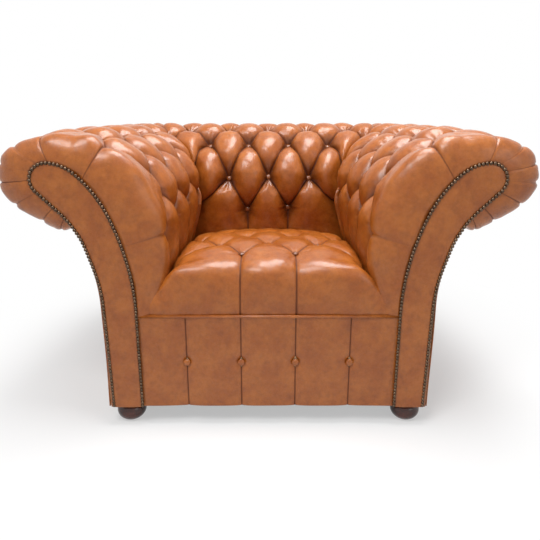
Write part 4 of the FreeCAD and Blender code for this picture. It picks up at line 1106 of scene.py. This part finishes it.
class CHAIR_OT_facings(bpy.types.Operator):
    """Lay the flat leather facings and drive their rows of nails"""
    bl_idname = "chair.facings"
    bl_label = "Facings and nails"

    def execute(self, context):
        trim = context.scene.chair_trim
        share = np.linspace(0.0, 1.0, FACING_STEPS[0])[:, None]
        over = spaced(FACING_STEPS[1])[None, :]
        inner_x, inner_z = nail_line(share * FACING_TIP, 0.0)
        outer_x, outer_z = nail_line(FACING.length - share * (FACING.length - FACING_TIP), 0.0)
        crown = (1 - np.abs(2 * over - 1) ** 4) * FACING_PUFF * np.clip((1 - share) / 0.05, 0.0, 1.0)
        x = inner_x * (1 - over) + outer_x * over
        z = inner_z * (1 - over) + outer_z * over
        grid = (place(x, FACING_D - crown, z), 0 * x, 0.006 + np.minimum(over, 1 - over) * 0.08, False)
        count = round(FACING.length / trim.nail_pitch)
        nail_x, nail_z = nail_line((np.arange(count) + 0.5) * FACING.length / count)
        nails = place(nail_x, 0.0, nail_z)
        for side, mirror in (("right", False), ("left", True)):
            made = mesh_of_patches(f"{side}_facing_leather", [grid], mirror)
            backed(made, FACING_THICKNESS)
            finished(made, (f"{side}_facing_cover",), TUFTED)
            head = dome(trim.nail_radius, segments=12, rings=8, cut=0.0, squash=0.8)
            made = copies_joined(head, f"{side}_facing_nail_heads",
                                 [(spot, (0, -1, 0)) for spot in nails * handed(mirror)])
            finished(made, (f"{side}_facing_nails",), "antique_brass")
        return {"FINISHED"}


class CHAIR_OT_border(bpy.types.Operator):
    """Pad the front border and set its welt and buttons"""
    bl_idname = "chair.border"
    bl_label = "Front border"

    def execute(self, context):
        look, trim = context.scene.chair_leather, context.scene.chair_trim
        low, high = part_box("front_border_cover")
        rows, columns = BORDER_STEPS
        seams = [side * HALF for side in (-3, -1, 1, 3)]
        stops = [low.x] + seams + [high.x]
        over = np.concatenate([a + (b - a) * spaced(columns)[(1 if i else 0):] for i, (a, b) in
                               enumerate(zip(stops, stops[1:]))])[None, :]
        up = np.linspace(low.z, high.z, rows)[:, None]
        flat = 0 * over + 0 * up
        nearest = np.min([np.abs(over - seam) for seam in seams], axis=0)
        channel = np.clip(1 - nearest / CHANNEL_HALF, 0.0, 1.0) ** 3.0 * CHANNEL_DEPTH
        stitch = STITCH_DEPTH * np.exp(-(nearest / STITCH_HALF) ** 2)
        pit = sum(PIT_DEPTH * np.exp(-(np.hypot(over - seam, np.abs(up - BORDER_BUTTON_Z)) / PIT_HALF) ** 2)
                  for seam in seams)
        wave = lumps(place(over, 0.0, up), 0.12, SEED + 60) * WAVE_HEIGHT
        points = place(over + flat, BORDER_D + channel + stitch + pit + wave, up + flat)
        # Its depth in the channels and pits and its nearness to the seams paint shade into the leather's
        # colour there.
        made = mesh_of_patches("border_leather", [(points, channel + pit, nearest, False)])
        backed(made, look.thickness)
        finished(made, ("front_border_cover", "border_pad"), TUFTED)
        spots = [((seam, FRONT_Y + BORDER_BUTTON_D, BORDER_BUTTON_Z), (0, -1, 0)) for seam in seams]
        caps = button_caps("border_button_caps", spots, BORDER_BUTTON_LIFT, trim.button_radius)
        finished(caps, ("border_buttons",), SMOOTH)
        bpy.ops.mesh.primitive_cylinder_add(vertices=24, radius=trim.welt_radius, depth=high.x - low.x)
        welt = context.object
        welt.name = "seat_welt_piping"
        with whole_mesh_edited():
            bpy.ops.transform.rotate(value=math.pi / 2, orient_axis="Y", center_override=(0, 0, 0))
            bpy.ops.transform.translate(value=(0, FRONT_Y + 0.006, SEAT_EDGE_Z))
        bpy.ops.object.shade_smooth()
        finished(welt, ("seat_welt",), SMOOTH)
        return {"FINISHED"}


def outside_grids():
    """Points of the right outside from the facing round the corner, and of the outside back."""
    f = np.linspace(OUTSIDE_FROM, FACING.length, OUTSIDE_ROWS)[:, None]
    x, z = FACING.at(f, -OUTSIDE_OFF)
    share = np.clip((z - LEAN_FROM_Z) / (LEAN_TO_Z - LEAN_FROM_Z), 0.0, 1.0)
    breadth = x - SPLAY * share
    pivot = breadth - BASE_CORNER + (PIVOT - breadth + BASE_CORNER) * share
    reach = breadth - pivot
    runs = [(x, d) for d in (OUTSIDE_D, *np.linspace(0.02, SPLAY_FROM, 5))]
    for d in np.linspace(SPLAY_FROM, SPLAY_TO, 24)[1:]:
        runs.append((x - SPLAY * share * (d - SPLAY_FROM) / (SPLAY_TO - SPLAY_FROM), d))
    for turn in np.linspace(0.0, math.pi / 2, OUTSIDE_CORNER + 1):
        runs.append((pivot + reach * math.cos(turn),
                     back_distance(pivot) + BACK_RATIO * reach * math.sin(turn)))
    arm_grid = np.stack([place(px, pd, z)[:, 0] for px, pd in runs], axis=1)
    steps = np.linspace(1.0, -1.0, OUTSIDE_BACK)[None, :]
    return arm_grid, place(pivot * steps, back_distance(breadth), z)


class CHAIR_OT_outside(bpy.types.Operator):
    """Cover the outside of the arms and of the back"""
    bl_idname = "chair.outside"
    bl_label = "Outside leather"

    def execute(self, context):
        arm_grid, back_grid = outside_grids()
        for name, node, grid, mirror, seed in (
                ("right_outside_arm_leather", "right_outside_arm_cover", arm_grid, False, SEED + 70),
                ("left_outside_arm_leather", "left_outside_arm_cover", arm_grid, True, SEED + 70),
                ("outside_back_leather", "outside_back_cover", back_grid, False, SEED + 71)):
            made = mesh_of_patches(name, [(grid, 0.0, PLAIN_NEAR, True)], mirror)
            moved_by(made, lumps(places_of(made), OUTSIDE_WAVE, seed) * WAVE_HEIGHT)
            backed(made, context.scene.chair_leather.thickness)
            finished(made, (node,), SMOOTH)
        return {"FINISHED"}


class CHAIR_OT_feet(bpy.types.Operator):
    """Turn the bun feet"""
    bl_idname = "chair.feet"
    bl_label = "Feet"

    def execute(self, context):
        for node in ("right_front_foot", "left_front_foot", "right_back_foot", "left_back_foot"):
            low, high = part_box(node)
            tall = high.z - low.z
            centre = ((low.x + high.x) / 2, (low.y + high.y) / 2, tall * BUN_CENTRE)
            bpy.ops.mesh.primitive_uv_sphere_add(segments=48, ring_count=24, radius=(high.x - low.x) / 2,
                                                 location=centre)
            foot = context.object
            foot.name = node.replace("_foot", "_bun")
            bpy.ops.object.transform_apply(location=True)
            with whole_mesh_edited():
                bpy.ops.transform.resize(value=(1, 1, BUN_SQUASH), center_override=centre)
                bpy.ops.mesh.bisect(plane_co=(0, 0, 0), plane_no=(0, 0, 1), use_fill=True, clear_inner=True)
                bpy.ops.mesh.select_all(action="SELECT")
                bpy.ops.mesh.bisect(plane_co=(0, 0, tall * BUN_TOP), plane_no=(0, 0, 1), use_fill=True,
                                    clear_outer=True)
                neck = {"value": (0, 0, tall * (1 - BUN_TOP))}
                bpy.ops.mesh.extrude_region_move(TRANSFORM_OT_translate=neck)
                bpy.ops.mesh.select_all(action="DESELECT")
            bevel = foot.modifiers.new("edges", "BEVEL")
            bevel.width = BUN_EDGE
            bevel.segments = 3
            bevel.limit_method = "ANGLE"
            pick(foot)
            bpy.ops.object.modifier_apply(modifier=bevel.name)
            bpy.ops.object.shade_smooth_by_angle(angle=math.radians(35))
            finished(foot, (node,), "polished_mahogany")
        return {"FINISHED"}


def area_lamp(name, place_at, aim, size, power):
    """A soft rectangular lamp turned towards a point."""
    lamp = bpy.data.lights.new(name, "AREA")
    lamp.shape = "RECTANGLE"
    lamp.size, lamp.size_y = size
    lamp.energy = power
    holder = linked(name, lamp)
    holder.location = place_at
    holder.rotation_euler = (Vector(aim) - Vector(place_at)).to_track_quat("-Z", "Y").to_euler()


def seen_directly(w):
    """A factor that is 1 for what the camera, mirrors and glass see, and 0 for the light on the chair."""
    path = w.add("ShaderNodeLightPath").outputs
    seen = w.math("MAXIMUM", path["Is Camera Ray"], path["Is Glossy Ray"])
    return w.math("MAXIMUM", seen, path["Is Transmission Ray"])


def white_floor_material(look):
    """A pale floor that is seen as white away from the chair, with the chair's shadow on it."""
    w, where, shader = new_material("pale_floor")
    for socket, value in (("Base Color", (0.85, 0.85, 0.85, 1)), ("Roughness", 0.9),
                          ("Specular IOR Level", 0.1)):
        w.put(value, shader[socket])
    reach = w.add("ShaderNodeVectorMath", {0: where}, operation="LENGTH").outputs["Value"]
    far = w.spread(reach, 0.55, 1.3, look.near_white, 1.0)
    white = w.add("ShaderNodeEmission").outputs[0]
    pale = w.tree.nodes["Principled BSDF"].outputs[0]
    seen = w.mix_shaders(w.math("MULTIPLY", far, seen_directly(w)), pale, white)
    w.put(seen, w.tree.nodes["Material Output"].inputs["Surface"])


def white_world():
    """Dim light from all round, which is seen as white."""
    world = bpy.data.worlds.new("studio")
    world.use_nodes = True
    bpy.context.scene.world = world
    w = Wiring(world.node_tree)
    dim = w.tree.nodes["Background"]
    white = w.add("ShaderNodeBackground")
    for light, strength in ((dim, SURROUND), (white, 1.0)):
        w.put((1, 1, 1, 1), light.inputs["Color"])
        w.put(strength, light.inputs["Strength"])
    seen = w.mix_shaders(seen_directly(w), dim.outputs[0], white.outputs[0])
    w.put(seen, w.tree.nodes["World Output"].inputs[0])


class CHAIR_OT_stage(bpy.types.Operator):
    """Set the floor, the lamps and the camera"""
    bl_idname = "chair.stage"
    bl_label = "Stage"

    def execute(self, context):
        stage = context.scene.chair_stage
        bpy.ops.mesh.primitive_plane_add(size=30.0, location=(0, 0, 0))
        floor = context.object
        floor.name = "floor"
        white_floor_material(stage)
        floor.data.materials.append(bpy.data.materials["pale_floor"])
        for lamp in LAMPS:
            area_lamp(*lamp)
        white_world()
        camera = bpy.data.cameras.new("camera")
        camera.lens = stage.focal
        camera.sensor_width = 36.0
        camera.shift_x, camera.shift_y = stage.shift_x, stage.shift_y
        holder = linked("camera", camera)
        holder.location = (0, FRONT_Y - stage.camera_distance, stage.camera_height)
        holder.rotation_euler = (math.radians(90 - stage.camera_pitch), 0, 0)
        context.scene.camera = holder
        context.scene.view_settings.view_transform = "Standard"
        return {"FINISHED"}


class CHAIR_PT_panel(bpy.types.Panel):
    """The chair's pieces and settings"""
    bl_idname = "CHAIR_PT_panel"
    bl_label = "Armchair"
    bl_space_type = "VIEW_3D"
    bl_region_type = "UI"
    bl_category = "Armchair"

    def draw(self, context):
        for one in OPERATORS:
            self.layout.operator(one.bl_idname)
        for group in (context.scene.chair_leather, context.scene.chair_trim, context.scene.chair_stage):
            for name in group.__annotations__:
                self.layout.prop(group, name)


GROUPS = (LeatherLook, TrimLook, StageLook)
OPERATORS = (CHAIR_OT_finishes, CHAIR_OT_arms, CHAIR_OT_back, CHAIR_OT_seat, CHAIR_OT_facings,
             CHAIR_OT_border, CHAIR_OT_outside, CHAIR_OT_feet, CHAIR_OT_stage)


def register():
    for one in GROUPS + OPERATORS + (CHAIR_PT_panel,):
        bpy.utils.register_class(one)
    bpy.types.Scene.chair_leather = bpy.props.PointerProperty(type=LeatherLook)
    bpy.types.Scene.chair_trim = bpy.props.PointerProperty(type=TrimLook)
    bpy.types.Scene.chair_stage = bpy.props.PointerProperty(type=StageLook)


def unregister():
    del bpy.types.Scene.chair_leather
    del bpy.types.Scene.chair_trim
    del bpy.types.Scene.chair_stage
    for one in (CHAIR_PT_panel,) + OPERATORS[::-1] + GROUPS[::-1]:
        bpy.utils.unregister_class(one)


def main():
    register()
    bpy.ops.chair.finishes()
    bpy.ops.chair.arms()
    bpy.ops.chair.back()
    bpy.ops.chair.seat()
    bpy.ops.chair.facings()
    bpy.ops.chair.border()
    bpy.ops.chair.outside()
    bpy.ops.chair.feet()
    bpy.ops.chair.stage()
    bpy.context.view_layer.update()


if __name__ == "__main__":
    main()
